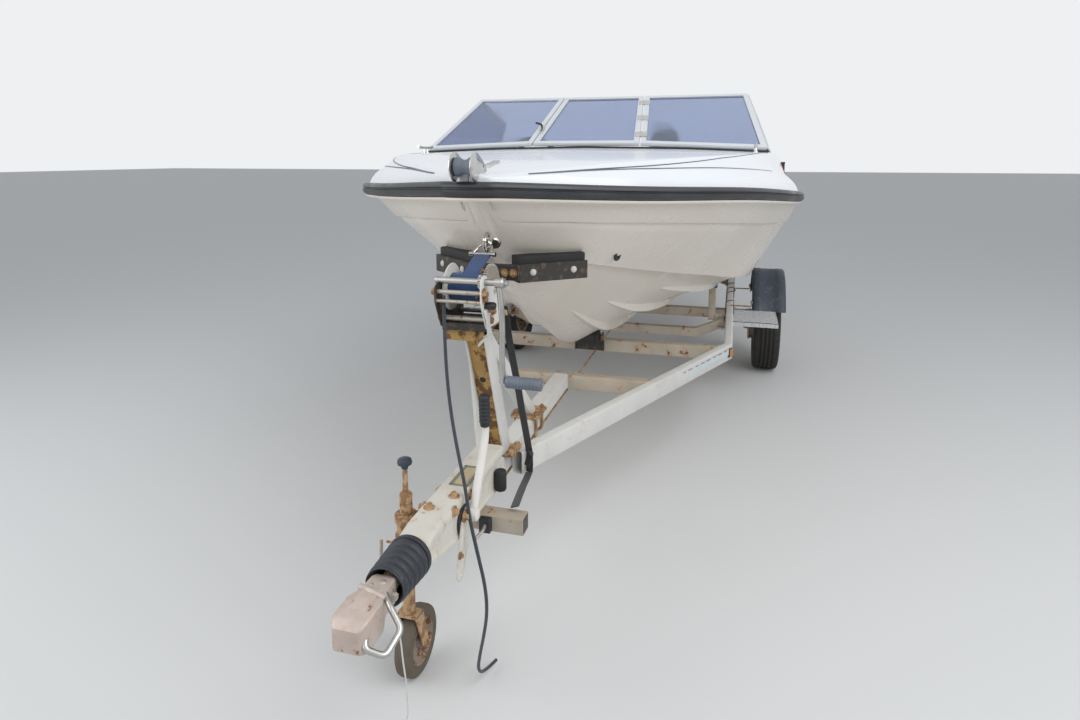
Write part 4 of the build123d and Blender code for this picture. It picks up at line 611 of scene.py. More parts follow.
def closed_bar(path, diameter, sides=8):
    """A round bar that runs into itself."""
    rings = []
    count = len(path)
    for i, point in enumerate(path):
        along = (Vector(path[(i + 1) % count]) - Vector(path[i - 1])).normalized()
        across = Vector(UP).cross(along)
        across = across.normalized() if across.length > 0.01 else Vector(PORT)
        up = along.cross(across)
        rings.append([Vector(point) + (across * cos(a) + up * sin(a)) * diameter / 2
            for a in turns(sides)])
    return skin(rings, wrap=True)


def ribbon(path, width, thickness, across=PORT):
    """A flat strap along a path, a little thicker across its middle."""
    rings = []
    last = len(path) - 1
    for i, point in enumerate(path):
        along = (Vector(path[min(i + 1, last)]) - Vector(path[max(i - 1, 0)])).normalized()
        side = Vector(across)
        side = (side - along * side.dot(along)).normalized()
        up = along.cross(side)
        rings.append([Vector(point) + side * width * u + up * (thickness * v)
            for u, v in ((-0.5, -0.3), (-0.25, -0.5), (0, -0.5), (0.25, -0.5), (0.5, -0.3), (0.5, 0.3),
            (0.25, 0.5), (0, 0.5), (-0.25, 0.5), (-0.5, 0.3))])
    return skin(rings)


def bolt(place, axis, size=13.0, washer=True):
    """A washer and a chamfered hexagon head standing on a surface; size is across the flats."""
    axis = Vector(axis).normalized()
    across = axis.orthogonal().normalized()
    other = axis.cross(across)
    rise = 2.0 if washer else 0.0

    def ring(radius, height, sides):
        return [Vector(place) + (across * cos(a) + other * sin(a)) * radius + axis * height
            for a in turns(sides)]
    reach = size / 2 / cos(pi / 6)
    head = skin([ring(reach, rise - 1, 6), ring(reach, rise + 0.5 * size, 6),
        ring(0.84 * reach, rise + 0.64 * size, 6)])
    if not washer:
        return head
    return combined(skin([ring(0.95 * size, -1, 18), ring(0.95 * size, rise, 18)]), head)


def dome(place, axis, radius, height):
    """A round head, like a coach bolt's."""
    line = [(0, height), (0.45 * radius, 0.9 * height), (0.8 * radius, 0.6 * height),
        (radius, 0.15 * height), (radius, -1), (0, -1)]
    return spun(line, place, axis, 20)


# The boat's lines, at ten stations: heights above the keel amidships, breadths from the middle
Station = namedtuple("Station", "x keel chine_y chine knuckle_y knuckle sheer_y sheer ledge_y ledge "
                     "shoulder_y shoulder crown rail")
LINES = [Station(*row) for row in (
    (-1830, 22, 740, 197, 898, 437, 950, 567, 885, 665, 850, 735, 745, 44),
    (-600, 9, 765, 212, 930, 460, 990, 587, 915, 697, 877, 795, 808, 48),
    (600, 4, 765, 232, 932, 487, 1000, 612, 922, 722, 880, 835, 850, 52),
    (1400, 0, 735, 257, 893, 530, 955, 652, 882, 745, 840, 849, 872, 54),
    (2000, 37, 540, 357, 765, 570, 870, 687, 800, 777, 745, 844, 862, 54),
    (2450, 232, 350, 442, 575, 608, 700, 717, 625, 794, 575, 834, 848, 30),
    (2800, 425, 190, 515, 340, 636, 450, 732, 385, 797, 355, 817, 829, 12),
    (2930, 534, 40, 551, 215, 648, 325, 739, 275, 794, 252, 808, 819, 6),
    (3050, 635, 26, 646, 100, 676, 200, 747, 170, 789, 156, 797, 806, 5),
    (3160, 732, 20, 738, 34, 744, 70, 755, 56, 783, 50, 786, 790, 2))]
FRAME_TOP = 550
FRAME_BASE = 475
AXLE_Z = 298
KEEL_Z = FRAME_TOP + 53
STERN_X, BOW_X = LINES[0].x, LINES[-1].x
NOSE_ROUND = 14
SPRAY_RAILS = ((0.25, 2420), (0.52, 2300), (0.80, 2050))
COCKPIT = (-1235, 1330, 690)
WELL_FRONT, WELL_HALF = -1310, 345
TRANSOM_TOP = KEEL_Z + LINES[0].keel + 508


def fair(x):
    """The boat's station at x, from a smooth curve through each column of the table."""
    def slope(i, column):
        before, after = max(i - 1, 0), min(i + 1, len(LINES) - 1)
        return (LINES[after][column] - LINES[before][column]) / (LINES[after].x - LINES[before].x)
    i = 0
    while i < len(LINES) - 2 and x > LINES[i + 1].x:
        i += 1
    length = LINES[i + 1].x - LINES[i].x
    t = (x - LINES[i].x) / length
    values = [x]
    for column in range(1, len(Station._fields)):
        a, b = LINES[i][column], LINES[i + 1][column]
        m, n = slope(i, column) * length, slope(i + 1, column) * length
        values.append(a * (1 + 2 * t) * (1 - t) ** 2 + b * t * t * (3 - 2 * t)
                      + m * t * (1 - t) ** 2 - n * t * t * (1 - t))
    return Station(*values)


def boat_rings(half_line):
    """Rings of points along the boat, closer together at the bow, rounded off at the stem head."""
    places, x = [], STERN_X
    while x < BOW_X - 8:
        places.append(x)
        x += 60 if x < 1700 else 30 if x < 2750 else 15
    places.append(BOW_X)
    rings = [(x, half_line(fair(x)), 1.0) for x in places]
    last = half_line(fair(BOW_X))
    rings += [(BOW_X + NOSE_ROUND * sin(a), last, max(cos(a), 0.02))
        for a in (radians(22), radians(45), radians(66), radians(82), radians(90))]
    result = []
    for x, half, share in rings:
        port = [(x, y * share, KEEL_Z + z) for y, z in half]
        starboard = [(x, -y, z) for x, y, z in reversed(port)]
        keel_first = half[0][0] < half[-1][0]
        result.append(starboard[:-1] + port if keel_first else port + starboard[1:])
    return result


def hull_half(s):
    """The skin from keel to sheer: keel flat, bottom, chine flat, topside, knuckle and flare."""
    flat = min(16, 0.4 * s.chine_y)
    inner = s.chine_y - 0.8 * s.rail
    line = [(0, s.keel - 1), (0.75 * flat, s.keel - 0.5)]
    for k in range(9):
        line.append((flat + (inner - flat) * k / 8, s.keel + (s.chine - s.keel) * k / 8))
    line += [(s.chine_y - 3, s.chine), (s.chine_y, s.chine + 3)]
    level = max(min(s.knuckle, 648 + 0.06 * max(s.x - 2930, 0)), s.chine + 8)
    share = min(1, max(0, (3078 - s.x) / 40)) * min(1, s.sheer_y / 500)
    fold = (s.knuckle_y, s.knuckle)

    def topside(z):
        low, high = (((s.chine_y, s.chine), fold) if z <= s.knuckle else (fold, (s.sheer_y, s.sheer)))
        return low[0] + (high[0] - low[0]) * (z - low[1]) / max(high[1] - low[1], 0.001)
    for t in (0.2, 0.4, 0.6, 0.8):
        z = s.chine + (level - s.chine) * t
        line.append((topside(z), z))
    for out, rise in ((-0.5, -7), (-3.5, -4), (-3.5, 0), (8, 1), (10, 5)):
        z = level + rise * share
        line.append((topside(z) + out * share, z))
    for t in (0.25, 0.5, 0.75):
        z = level + 5 + (s.sheer - level - 5) * t
        line.append((topside(z) + 10 * share * (1 - t), z))
    return line + [(s.sheer_y, s.sheer)]


def spray_rail(share, tip):
    """A wedge moulded under the bottom: flat below, with a steep outboard face."""
    rings = []
    count = 70
    for k in range(count + 1):
        x = STERN_X + (tip - STERN_X) * (1 - (1 - k / count) ** 1.6)
        s = fair(x)
        inner = min(16, 0.4 * s.chine_y)
        outer = s.chine_y - 0.8 * s.rail
        rise = (s.chine - s.keel) / (outer - inner)
        width = max(1.5, s.rail * min(1, (tip - x) / 420) ** 0.5)
        y = inner + (outer - inner) * share
        a, b = y - width / 2, y + width / 2
        low = KEEL_Z + s.keel + (a - inner) * rise
        high = low + (b + 2 - a) * rise
        rings.append([(x, a - 5, low + 6), (x, a, low), (x, b - 1.5, low), (x, b, low + 1.5),
            (x, b + 2, high), (x, b - 1, high + 5)])
    return skin(rings)


def make_hull():
    """Hull skin cut down for the motor, its spray rails and the transom board."""
    hull = part("hull_moulding", skin(boat_rings(hull_half), closed=False), "hull", "gelcoat", "hull",
        sharp=30)
    thicken(hull, 8)
    carve(hull, brick((STERN_X - 30, STERN_X + 90), (-WELL_HALF, WELL_HALF),
        (TRANSOM_TOP, TRANSOM_TOP + 500)))
    rails = combined(*[both(spray_rail(share, tip)) for share, tip in SPRAY_RAILS])
    part("hull_spray_rails", rails, "hull", "gelcoat", sharp=25)
    half = [(max(y - 4, 0), z + 4) for y, z in hull_half(fair(STERN_X))[2:]]
    outline = half + [(WELL_HALF, half[-1][1]), (WELL_HALF, TRANSOM_TOP - KEEL_Z)]
    outline += [(-y, z) for y, z in reversed(outline)]
    rings = [[(x, y, KEEL_Z + z) for y, z in outline] for x in (STERN_X - 1, STERN_X + 45)]
    part("transom_board", skin(rings), "hull", "gelcoat", bevel=2)


def deck_half(s):
    """The deck from its turned down flange over the ledge and shoulder to the middle."""
    bulge = 0.35 * (s.sheer_y - s.ledge_y)
    chamfer = 0.14 * (s.shoulder - s.ledge)
    line = [(s.sheer_y - 4, s.sheer - 22), (s.sheer_y, s.sheer - 2),
        (s.sheer_y - bulge, s.sheer + 0.6 * (s.ledge - s.sheer)), (s.ledge_y + 8, s.ledge - 3),
        (s.ledge_y, s.ledge), (s.shoulder_y + chamfer / 3, s.shoulder - chamfer),
        (s.shoulder_y - chamfer, s.shoulder),
        (0.55 * s.shoulder_y, s.crown - 0.3 * (s.crown - s.shoulder)), (0, s.crown)]
    return soften(line, (6, 60, 10, 4, 12, 16, 90), 4)


def deck_height(x, y):
    """How high the deck lies at a place on it."""
    line = deck_half(fair(x))
    y = abs(y)
    for (ya, za), (yb, zb) in zip(line[2:], line[3:]):
        if yb <= y <= ya:
            return KEEL_Z + zb + (za - zb) * (y - yb) / max(ya - yb, 0.001)
    return KEEL_Z + line[-1][1]


def cockpit_plan(grow=0.0, spacing=60):
    """The cockpit's outline with points all the way along its sides."""
    aft, front, half = COCKPIT
    corners = rounded_plan(aft - grow, front + grow, -half - grow, half + grow, 80 + grow, 8)
    path = []
    for (ax, ay), (bx, by) in zip(corners, corners[1:] + corners[:1]):
        steps = max(1, round(hypot(bx - ax, by - ay) / spacing))
        path += [(ax + (bx - ax) * k / steps, ay + (by - ay) * k / steps) for k in range(steps)]
    return path


def make_deck():
    deck = part("deck_moulding", skin(boat_rings(deck_half), closed=False), "deck", "gelcoat", "deck",
        sharp=30)
    thicken(deck, 7)
    aft, front, half = COCKPIT
    height = (KEEL_Z, KEEL_Z + 1200)
    carve(deck, prism(rounded_plan(aft, front, -half, half, 80), *height),
        brick((STERN_X - 50, WELL_FRONT), (-WELL_HALF, WELL_HALF), height))
    cap = [(y, z) for y, z in deck_half(fair(STERN_X)) if y > WELL_HALF]
    cap += [(WELL_HALF, cap[-1][1] + 2), (WELL_HALF, cap[0][1])]
    rings = [[(x, y, KEEL_Z + z) for y, z in cap] for x in (STERN_X - 1, STERN_X + 8)]
    part("deck_stern_face", both(skin(rings)), "deck", "gelcoat")
    sheer = KEEL_Z + fair(STERN_X).sheer
    top = deck_height(STERN_X + 30, WELL_HALF) - 3
    cheek = brick((STERN_X + 2, STERN_X + 50), (WELL_HALF - 6, WELL_HALF), (sheer - 4, top))
    part("well_cheeks", both(cheek), "deck", "gelcoat")
    bar = brick((STERN_X - 12, STERN_X + 4), (WELL_HALF, fair(STERN_X).sheer_y), (sheer - 25, sheer + 6))
    part("transom_trim", both(bar), "rub_rail", "rub_rail", bevel=3)
    coaming = [(x, y, deck_height(x, y) - 2) for x, y in cockpit_plan(-3)]
    part("coaming_trim", closed_bar(coaming, 17, 10), "rub_rail", "rub_rail", sharp=60)


def sheer_path():
    """The sheer line from the port quarter round the stem to the starboard one, each point with
    its outward direction."""
    side, x = [], STERN_X
    while x < BOW_X - 10:
        side.append(fair(x))
        x += 60 if x < 1700 else 30
    side.append(fair(BOW_X))
    last = side[-1]
    port = [(s.x, s.sheer_y, s.sheer) for s in side]
    port += [(BOW_X + NOSE_ROUND * sin(a), last.sheer_y * cos(a), last.sheer)
        for a in (radians(22), radians(45), radians(66), radians(82))]
    whole = port + [(BOW_X + NOSE_ROUND, 0, last.sheer)]
    whole += [(x, -y, z) for x, y, z in reversed(port)]
    result = []
    for i, (x, y, z) in enumerate(whole):
        before, after = whole[max(i - 1, 0)], whole[min(i + 1, len(whole) - 1)]
        along = Vector((after[0] - before[0], after[1] - before[1])).normalized()
        result.append((Vector((x, y, KEEL_Z + z)), Vector((-along.y, along.x, 0))))
    return result


def sheer_band(line):
    """A section of (outward, up) points run along the sheer."""
    return skin([[place + normal * u + Vector((0, 0, v)) for u, v in line]
        for place, normal in sheer_path()])


def make_rub_rail():
    """The ribbed fender round the sheer and the hull's lip under it."""
    section = [(-3, -25), (9, -25), (16, -20), (19, -10), (19, -6), (14, -4), (14, -1), (19, 1), (19, 4),
        (15, 11), (8, 15), (-3, 15)]
    part("rub_rail_extrusion", sheer_band(section), "rub_rail", "rub_rail", "rub_rail", sharp=40)
    lip = [(-4, -36), (4, -36), (8, -32), (8, -27), (-4, -25)]
    part("hull_flange_lip", sheer_band(lip), "hull", "gelcoat", sharp=40)


def make_skin_fittings():
    """The drain outlet in the bow, its bore a dark plug of painted shade, and the towing eyes with the
    drain plug aft.
    """
    drain, out = (2662, 307, 1121), (0.35, 0.9, -0.24)
    ring = spun([(9, 1), (12, 3), (16, 3), (18, 0), (18, -3), (9, -3)], drain, out, 28)
    part("bow_drain_outlet", ring, "abs", "dash")
    # The hull is not cut here: a dark rubber plug inside the ring is painted shade standing for the bore
    part("bow_drain_bore", peg(10, -1, -6, drain, out, 20), "rubber", "dash")
    aft = STERN_X - 1
    eyes = []
    for y in (560, -560):
        eyes.append(round_bar([(aft + dx, y, KEEL_Z + z) for dx, z in ((6, 330), (-22, 330), (-34, 360),
            (-22, 390), (6, 390))], 11, 12, 22))
        for z in (330, 390):
            eyes.append(spun([(0, 3), (16, 3), (18, 0), (18, -2), (0, -2)], (aft, y, KEEL_Z + z), AFT,
                20))
    eyes.append(spun([(0, 9), (9, 9), (10, 4), (20, 3), (20, -2), (0, -2)], (aft, 60, KEEL_Z + 90), AFT,
        24))
    part("transom_eyes_and_plug", combined(*eyes), "stainless", "stainless", sharp=50)


def make_bow_fairlead():
    """Two stainless cheeks with a grooved roller between them, and the tail plate on the deck."""
    tip = fair(BOW_X)
    deck_z = KEEL_Z + tip.crown
    x, pin_z = tip.x + 34, KEEL_Z + tip.crown + 18
    outline = [(x - 78, deck_z + 4), (x - 78, deck_z + 16), (x - 34, pin_z + 26)]
    outline += [(x + 38 * cos(radians(a)), pin_z + 38 * sin(radians(a))) for a in range(105, -120, -15)]
    cheek = crosswise(outline + [(x - 32, deck_z + 3)], 26.5, 29.5)
    base = crosswise([(x - 78, deck_z + 2), (x - 30, deck_z + 2), (x - 30, deck_z + 5),
        (x - 78, deck_z + 5)], -29, 29)
    points, faces = prism([(x - 76, -28), (x - 246, -9), (x - 250, 0), (x - 246, 9), (x - 76, 28)],
        deck_z + 2, deck_z + 5)
    tail = [(px, py, pz + max(0, (x - 76 - px) * (fair(px).crown - tip.crown) / 170))
        for px, py, pz in points], faces
    screws = [dome((x - dx, dy, deck_z + 5 + (fair(x - dx).crown - tip.crown) * 0.95), UP, 6, 3)
        for dx, dy in ((90, -14), (90, 14), (150, 0), (215, 0))]
    pin = peg(5, -36, 36, (x, 0, pin_z), PORT, 16)
    heads = [bolt((x, 29.5, pin_z), PORT), bolt((x, -29.5, pin_z), STARBOARD)]
    steel = part("bow_fairlead", combined(both(cheek), base, tail, pin, *screws, *heads), "stainless",
        "stainless", "bow_roller_cheeks", bevel=1.0)
    carve(steel, peg(6, -60, 60, (x - 52, 0, pin_z - 2), PORT, 20))
    line = [(6, -25), (22, -25), (25, -22), (24, -14), (19, -6), (18, 0), (19, 6), (24, 14), (25, 22),
        (22, 25), (6, 25)]
    part("fairlead_roller", spun(line, (x, 0, pin_z), PORT, 40), "grey_grip", "dark_rubber", "bow_roller")


def make_deck_fittings():
    """Horn cleats on their feet, side lamps in dark housings, the bow eye with its shackle."""
    cleats = []
    for x, y in ((1850, 735), (-1500, 760)):
        z = KEEL_Z + fair(x).shoulder - 2
        cleats.append(round_bar([(x + dx, y, z + dz) for dx, dz in ((-75, 33), (-58, 29), (0, 26),
            (58, 29), (75, 33))], 13, 14, 30))
        for dx in (-18, 18):
            cleats.append(spun([(0, -6), (13, -6), (13, 3), (7, 9), (6, 26), (0, 26)], (x + dx, y, z),
                UP, 20))
        cleats.append(prism(rounded_plan(x - 36, x + 36, y - 13, y + 13, 10), z - 5, z + 4))
    part("horn_cleats", both(*cleats), "stainless", "stainless", "cleats", sharp=50)
    lamp_x = 1200
    s = fair(lamp_x)
    y = (s.ledge_y - 60, s.ledge_y - 4)
    z = KEEL_Z + s.ledge + 12

    def block(aft, fore, inset, radius, low, high):
        plan = rounded_plan(lamp_x + aft, lamp_x + fore, y[0] + inset[0], y[1] - inset[1], radius)
        return prism(plan, z + low, z + high)
    for side, name, lens, slot in ((1, "port_lamp", "red_lens", "red_lamp"),
            (-1, "starboard_lamp", "green_lens", "green_lamp")):
        shell = combined(block(-44, 20, (1, 1), 12, -8, 52), block(-44, 44, (1, 1), 14, 46, 54),
            block(-44, 44, (1, 1), 14, -10, 8))
        glass = block(-10, 40, (5, 3), 16, 7, 47)
        if side < 0:
            shell, glass = mirrored(shell), mirrored(glass)
        part(name + "_housing", shell, "abs", "dash", bevel=1.5)
        part(name + "_lens", glass, lens, slot, name, bevel=1.5)
    eye_x, eye_z = 3036, KEEL_Z + 597
    pin_x, pin_z, side = 3076, 1172, 30
    ring = [(eye_x + 24 * cos(radians(a)), 0, eye_z + 24 * sin(radians(a))) for a in range(0, 360, 15)]
    bow = [(pin_x, -side, pin_z), (eye_x + 10, -side / 2, eye_z - 5), (eye_x + 10, side / 2, eye_z - 5),
        (pin_x, side, pin_z)]
    pin = [(0, -38), (6, -38), (6, -30), (4.5, -28), (4.5, 30), (7, 31), (7, 38), (0, 38)]
    pieces = combined(closed_bar(ring, 12, 14),
        round_bar([(eye_x - 58, 0, eye_z), (eye_x - 22, 0, eye_z)], 14),
        spun([(0, 4), (24, 4), (26, 0), (26, -4), (0, -4)], (eye_x - 40, 0, eye_z - 6), (1, 0, -1), 28),
        round_bar(bow, 8, 14, 12), spun(pin, (pin_x, 0, pin_z), PORT, 18))
    part("bow_eye_and_shackle", pieces, "stainless", "stainless", "bow_eye", sharp=50)


def make_deck_lines():
    """Dark lines that fork from a point on each bow and run aft along the shoulder: painted shade of the
    deck's crease, as thin strips standing proud of it.
    """
    lines = []
    for reach, ratios in ((1700, (1.085, 1.05, 1.01, 0.99, 0.97)), (2050, (1.085,) * 5)):
        path = []
        for k in range(31):
            x = 3084 - (3084 - reach) * k / 30
            spot = 4 * k / 30
            i = min(int(spot), 3)
            ratio = ratios[i] + (ratios[i + 1] - ratios[i]) * (spot - i)
            y = fair(x).shoulder_y * ratio
            path.append((x, y, deck_height(x, y) + 0.6))
        lines.append(round_bar(path, 4.6, 8, taper=0.4))
    # These strips are painted shade along the shoulder crease, not a tape
    part("deck_line_tapes", both(*lines), "line_tape", "rub_rail", sharp=60)


def make_windscreen_fittings():
    """Hinges and latch of the middle pane, and the gasket under the base extrusion."""
    low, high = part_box("centre_screen_frame")
    base_z, top_z = low.z * 1000 + 8, high.z * 1000 - 8
    base_x, top_x, base_y, top_y = 1740, 1275, 250, 207

    def on_mullion(t, side, lift):
        rake = Vector((top_z - base_z, 0, base_x - top_x)).normalized()
        place = Vector((base_x + (top_x - base_x) * t, side * (base_y + (top_y - base_y) * t),
            base_z + (top_z - base_z) * t))
        return place + rake * lift
    along = (on_mullion(1, 1, 0) - on_mullion(0, 1, 0)).normalized()
    metal = []
    for t in (0.16, 0.5, 0.84):
        here = on_mullion(t, 1, 9)
        for dy in (-15, 15):
            leaf = on_mullion(t, 1, 8.5) + Vector((0, dy, 0))
            metal.append(ribbon([leaf - along * 24, leaf + along * 24], 24, 3))
            metal += [dome(leaf + along * d + Vector(UP), (0.45, 0, 0.9), 3.2, 1.8) for d in (-15, 15)]
        metal.append(round_bar([here - along * 26, here + along * 26], 8, 12))
    latch = on_mullion(0.3, -1, 12)
    metal.append(ribbon([latch - along * 26, latch + along * 26], 22, 6))
    part("screen_hinges", combined(*metal), "stainless", "stainless", bevel=0.5)
    knob = round_bar([latch + Vector(step) for step in ((4, 0, 4), (10, -4, 16), (6, -30, 22))], 10, 12,
        6)
    part("screen_latch", knob, "abs", "dash")
    path = []
    for k in range(25):
        y = -790 + 1580 * k / 24
        x = 1742 if abs(y) < 250 else 1740 - 40 * (abs(y) - 250) / 535
        path.append((x, y, deck_height(x, y) + 5))
    seal = [box_tube(path, 9, 9, 3, 3)]
    for side in (1, -1):
        wing = []
        for k in range(15):
            x = 1700 - 1220 * k / 14
            y = 785 + (fair(480).shoulder_y - 30 - 785) * k / 14
            wing.append((x, side * y, deck_height(x, y) + 6))
        seal.append(box_tube(wing, 9, 9, 3, 3))
    part("screen_base_gasket", combined(*seal), "rubber", "dark_rubber")


make_hull()
make_deck()
make_rub_rail()
make_skin_fittings()
make_bow_fairlead()
make_deck_fittings()
make_deck_lines()
make_windscreen_fittings()


# The trailer's frame
RAIL_Y, RAIL_BEND_X, RAIL_NOSE_X, RAIL_REAR_X, NOSE_Y = 660, 1510, 2940, -1780, 54
HITCH_Z = 560
TRACK, TYRE_WIDTH = 1800, 165
CROSS_Z = FRAME_TOP - 5 - 30
DRAWBAR_FRONT_X = 3140


def rail_y(x):
    """The rails' centre line, from the middle of the trailer."""
    if x <= RAIL_BEND_X:
        return RAIL_Y
    return RAIL_Y + (NOSE_Y - RAIL_Y) * (x - RAIL_BEND_X) / (RAIL_NOSE_X - RAIL_BEND_X)


def make_rails():
    """Side rails with their bend, black end caps aft, and the faded stripe down the port one."""
    z = (FRAME_TOP + FRAME_BASE) / 2
    path = [(RAIL_REAR_X, RAIL_Y, z), (RAIL_BEND_X, RAIL_Y, z), (RAIL_NOSE_X, NOSE_Y, z)]
    part("side_rail_tubes", both(box_tube(path, 40, 75, 7)), "galvanised", "galvanised", "side_rails")
    cap = brick((RAIL_REAR_X - 3, RAIL_REAR_X + 4), (RAIL_Y - 18.5, RAIL_Y + 18.5),
        (FRAME_BASE + 2, FRAME_TOP - 2))
    part("rail_end_caps", both(cap), "abs", "dash", bevel=2)
    outward = Vector((RAIL_NOSE_X - RAIL_BEND_X, NOSE_Y - RAIL_Y, 0)).normalized()
    across = Vector((-outward.y, outward.x, 0))
    start, end = Vector((RAIL_BEND_X + 10, RAIL_Y, z)), Vector((RAIL_NOSE_X - 30, NOSE_Y, z))

    def strip(low, high, from_share, to_share, lift):
        a = start + (end - start) * from_share + across * (20 + lift)
        b = start + (end - start) * to_share + across * (20 + lift)
        rings = [[p + Vector((0, 0, v)) - across * d for v, d in ((low, 0.8), (low, 0), (high, 0),
            (high, 0.8))] for p in (a, b)]
        return skin(rings)
    part("rail_stripe", strip(-6, 22, 0.0, 1.0, 0.7), "faded_stripe", "galvanised")
    dashes = [strip(18, 22, k / 26, (k + chance.uniform(0.45, 0.8)) / 26, 1.2) for k in range(26)]
    part("rail_stripe_edge", combined(*dashes), "faded_red", "galvanised")


def make_crossmembers():
    """Square tubes between the rails, one of them dropped in its middle, with gussets and bolts."""
    beams = []
    for x in (2150, 1560, -500, -1745):
        reach = rail_y(x) - 21
        beams.append(box_tube([(x, -reach, CROSS_Z), (x, reach, CROSS_Z)], 50, 60, 6))
    half, top = RAIL_Y - 21, FRAME_TOP - 25
    drop = 70
    path = [(850, -half, top - 25), (850, 158 - half, top - drop - 25),
        (850, half - 158, top - drop - 25), (850, half, top - 25)]
    beams.append(box_tube(path, 50, 50, 5))
    plates, bolts = [], []
    for x in (2150, 1560, 850, -500, -1745):
        inside = rail_y(x) - 20
        slope = 0 if x < RAIL_BEND_X else (NOSE_Y - RAIL_Y) / (RAIL_NOSE_X - RAIL_BEND_X)
        gusset = [(x - 55, inside - 2 - 55 * slope), (x + 55, inside - 2 + 55 * slope),
            (x + 30, inside - 48 + 30 * slope), (x - 30, inside - 48 - 30 * slope)]
        z = CROSS_Z - 36 if x != 850 else top - 56
        plates.append(prism(gusset, z, z + 5))
        for dx in (-34, 34):
            bolts.append(bolt((x + dx, inside - 14 + dx * slope, z), DOWN))
    part("crossmember_tubes", combined(*beams, both(*plates)), "rusty_galv", "rusty_steel",
        "crossmembers")
    part("frame_bolts", both(*bolts), "plated", "rusty_steel", bevel=0.4)


def make_drawbar():
    """The middle tube and the brake rod that hangs under it."""
    path = [(2175, 0, FRAME_TOP - 30), (DRAWBAR_FRONT_X - 2, 0, FRAME_TOP - 30)]
    part("drawbar_tube", box_tube(path, 60, 60, 7), "galvanised", "galvanised", "drawbar")
    part("brake_rod_bar", round_bar([(2990, 14, FRAME_BASE - 12), (210, 14, FRAME_BASE - 12)], 8, 12),
        "rusty", "rusty_steel", "brake_rod")


def make_axle():
    """Beam, trailing arms, stubs and the back plates of the brakes."""
    z = AXLE_Z + 92
    end = TRACK / 2 - TYRE_WIDTH / 2 - 62
    arm_y = end + 14
    beam = box_tube([(130, -end, z), (130, end, z)], 60, 60, 8, 5)
    arm = box_tube([(150, arm_y, z + 14), (60, arm_y, (z + AXLE_Z) / 2 + 4), (-22, arm_y, AXLE_Z - 15)],
        28, 58, 8, 8)
    stub = round_bar([(0, arm_y, AXLE_Z), (0, 918, AXLE_Z)], 34.6, 24)
    plate_line = [(17, 0), (96, 0), (104, 3), (107, 3), (107, 8), (17, 8)]
    back = spun(plate_line, (0, arm_y + 14, AXLE_Z), PORT, 48)
    hanger = brick((85, 175), (RAIL_Y - 20, RAIL_Y + 20), (z + 30, FRAME_BASE))
    bolts = [bolt((130 + dx, RAIL_Y + dy, z + 30), DOWN, 16) for dx in (-32, 32) for dy in (-10, 10)]
    cap = spun([(0, 3), (26, 3), (29, 0), (29, -4), (0, -4)], (130, end, z), PORT, 32)
    form = combined(beam, both(arm, stub, back, hanger, cap))
    part("axle_beam_and_arms", form, "rusty_galv", "rusty_steel", "axle", sharp=40, bevel=1)
    part("axle_bolts", both(*bolts), "rusty", "rusty_steel")


# Road wheels
def tread_line(angle_step):
    """Half of the tyre's outer section, as (radius, distance from the middle) with its grooves."""
    outer = 298.0
    notch = 5.5 if angle_step % 2 else 0.0
    line = [(170, 57), (182, 66), (205, 75), (246, 81.5), (268, 82), (276, 80.5 - notch / 3),
        (288, 74 - notch * 0.6), (294 - notch, 66), (296.5 - notch, 58)]
    for groove, worn in ((38, 0.6 * notch), (12, 0)):
        line += [(outer - 1 - worn, groove + 6), (outer - 8, groove + 3.4), (outer - 8, groove - 3.4),
            (outer - 0.3, groove - 6)]
    return line


def make_tyre(side, name):
    """Carcass with three ribs, two pairs of grooves and notched shoulder blocks."""
    rings = []
    for k, a in enumerate(turns(168)):
        line = tread_line(k // 2)
        whole = line + [(r, -d) for r, d in reversed(line)]
        whole += [(170, -44), (192, -42), (192, 42), (170, 44)]
        rings.append([(r * sin(a), side * (TRACK / 2 + d), AXLE_Z + r * cos(a)) for r, d in whole])
    part(name + "_tyre_casing", skin(rings, wrap=True), "tyre", "tyre", name + "_tyre",
        body=name + "_wheel", sharp=28)
    ridges = []
    for radius, out in ((212, 77), (250, 81.2)):
        path = [(radius * sin(a), side * (TRACK / 2 + out), AXLE_Z + radius * cos(a)) for a in turns(96)]
        inner = [(x, side * TRACK - y, z) for x, y, z in path]
        ridges += [closed_bar(path, 2.4, 6), closed_bar(inner, 2.4, 6)]
    part(name + "_sidewall_beads", combined(*ridges), "tyre", "tyre", body=name + "_wheel")


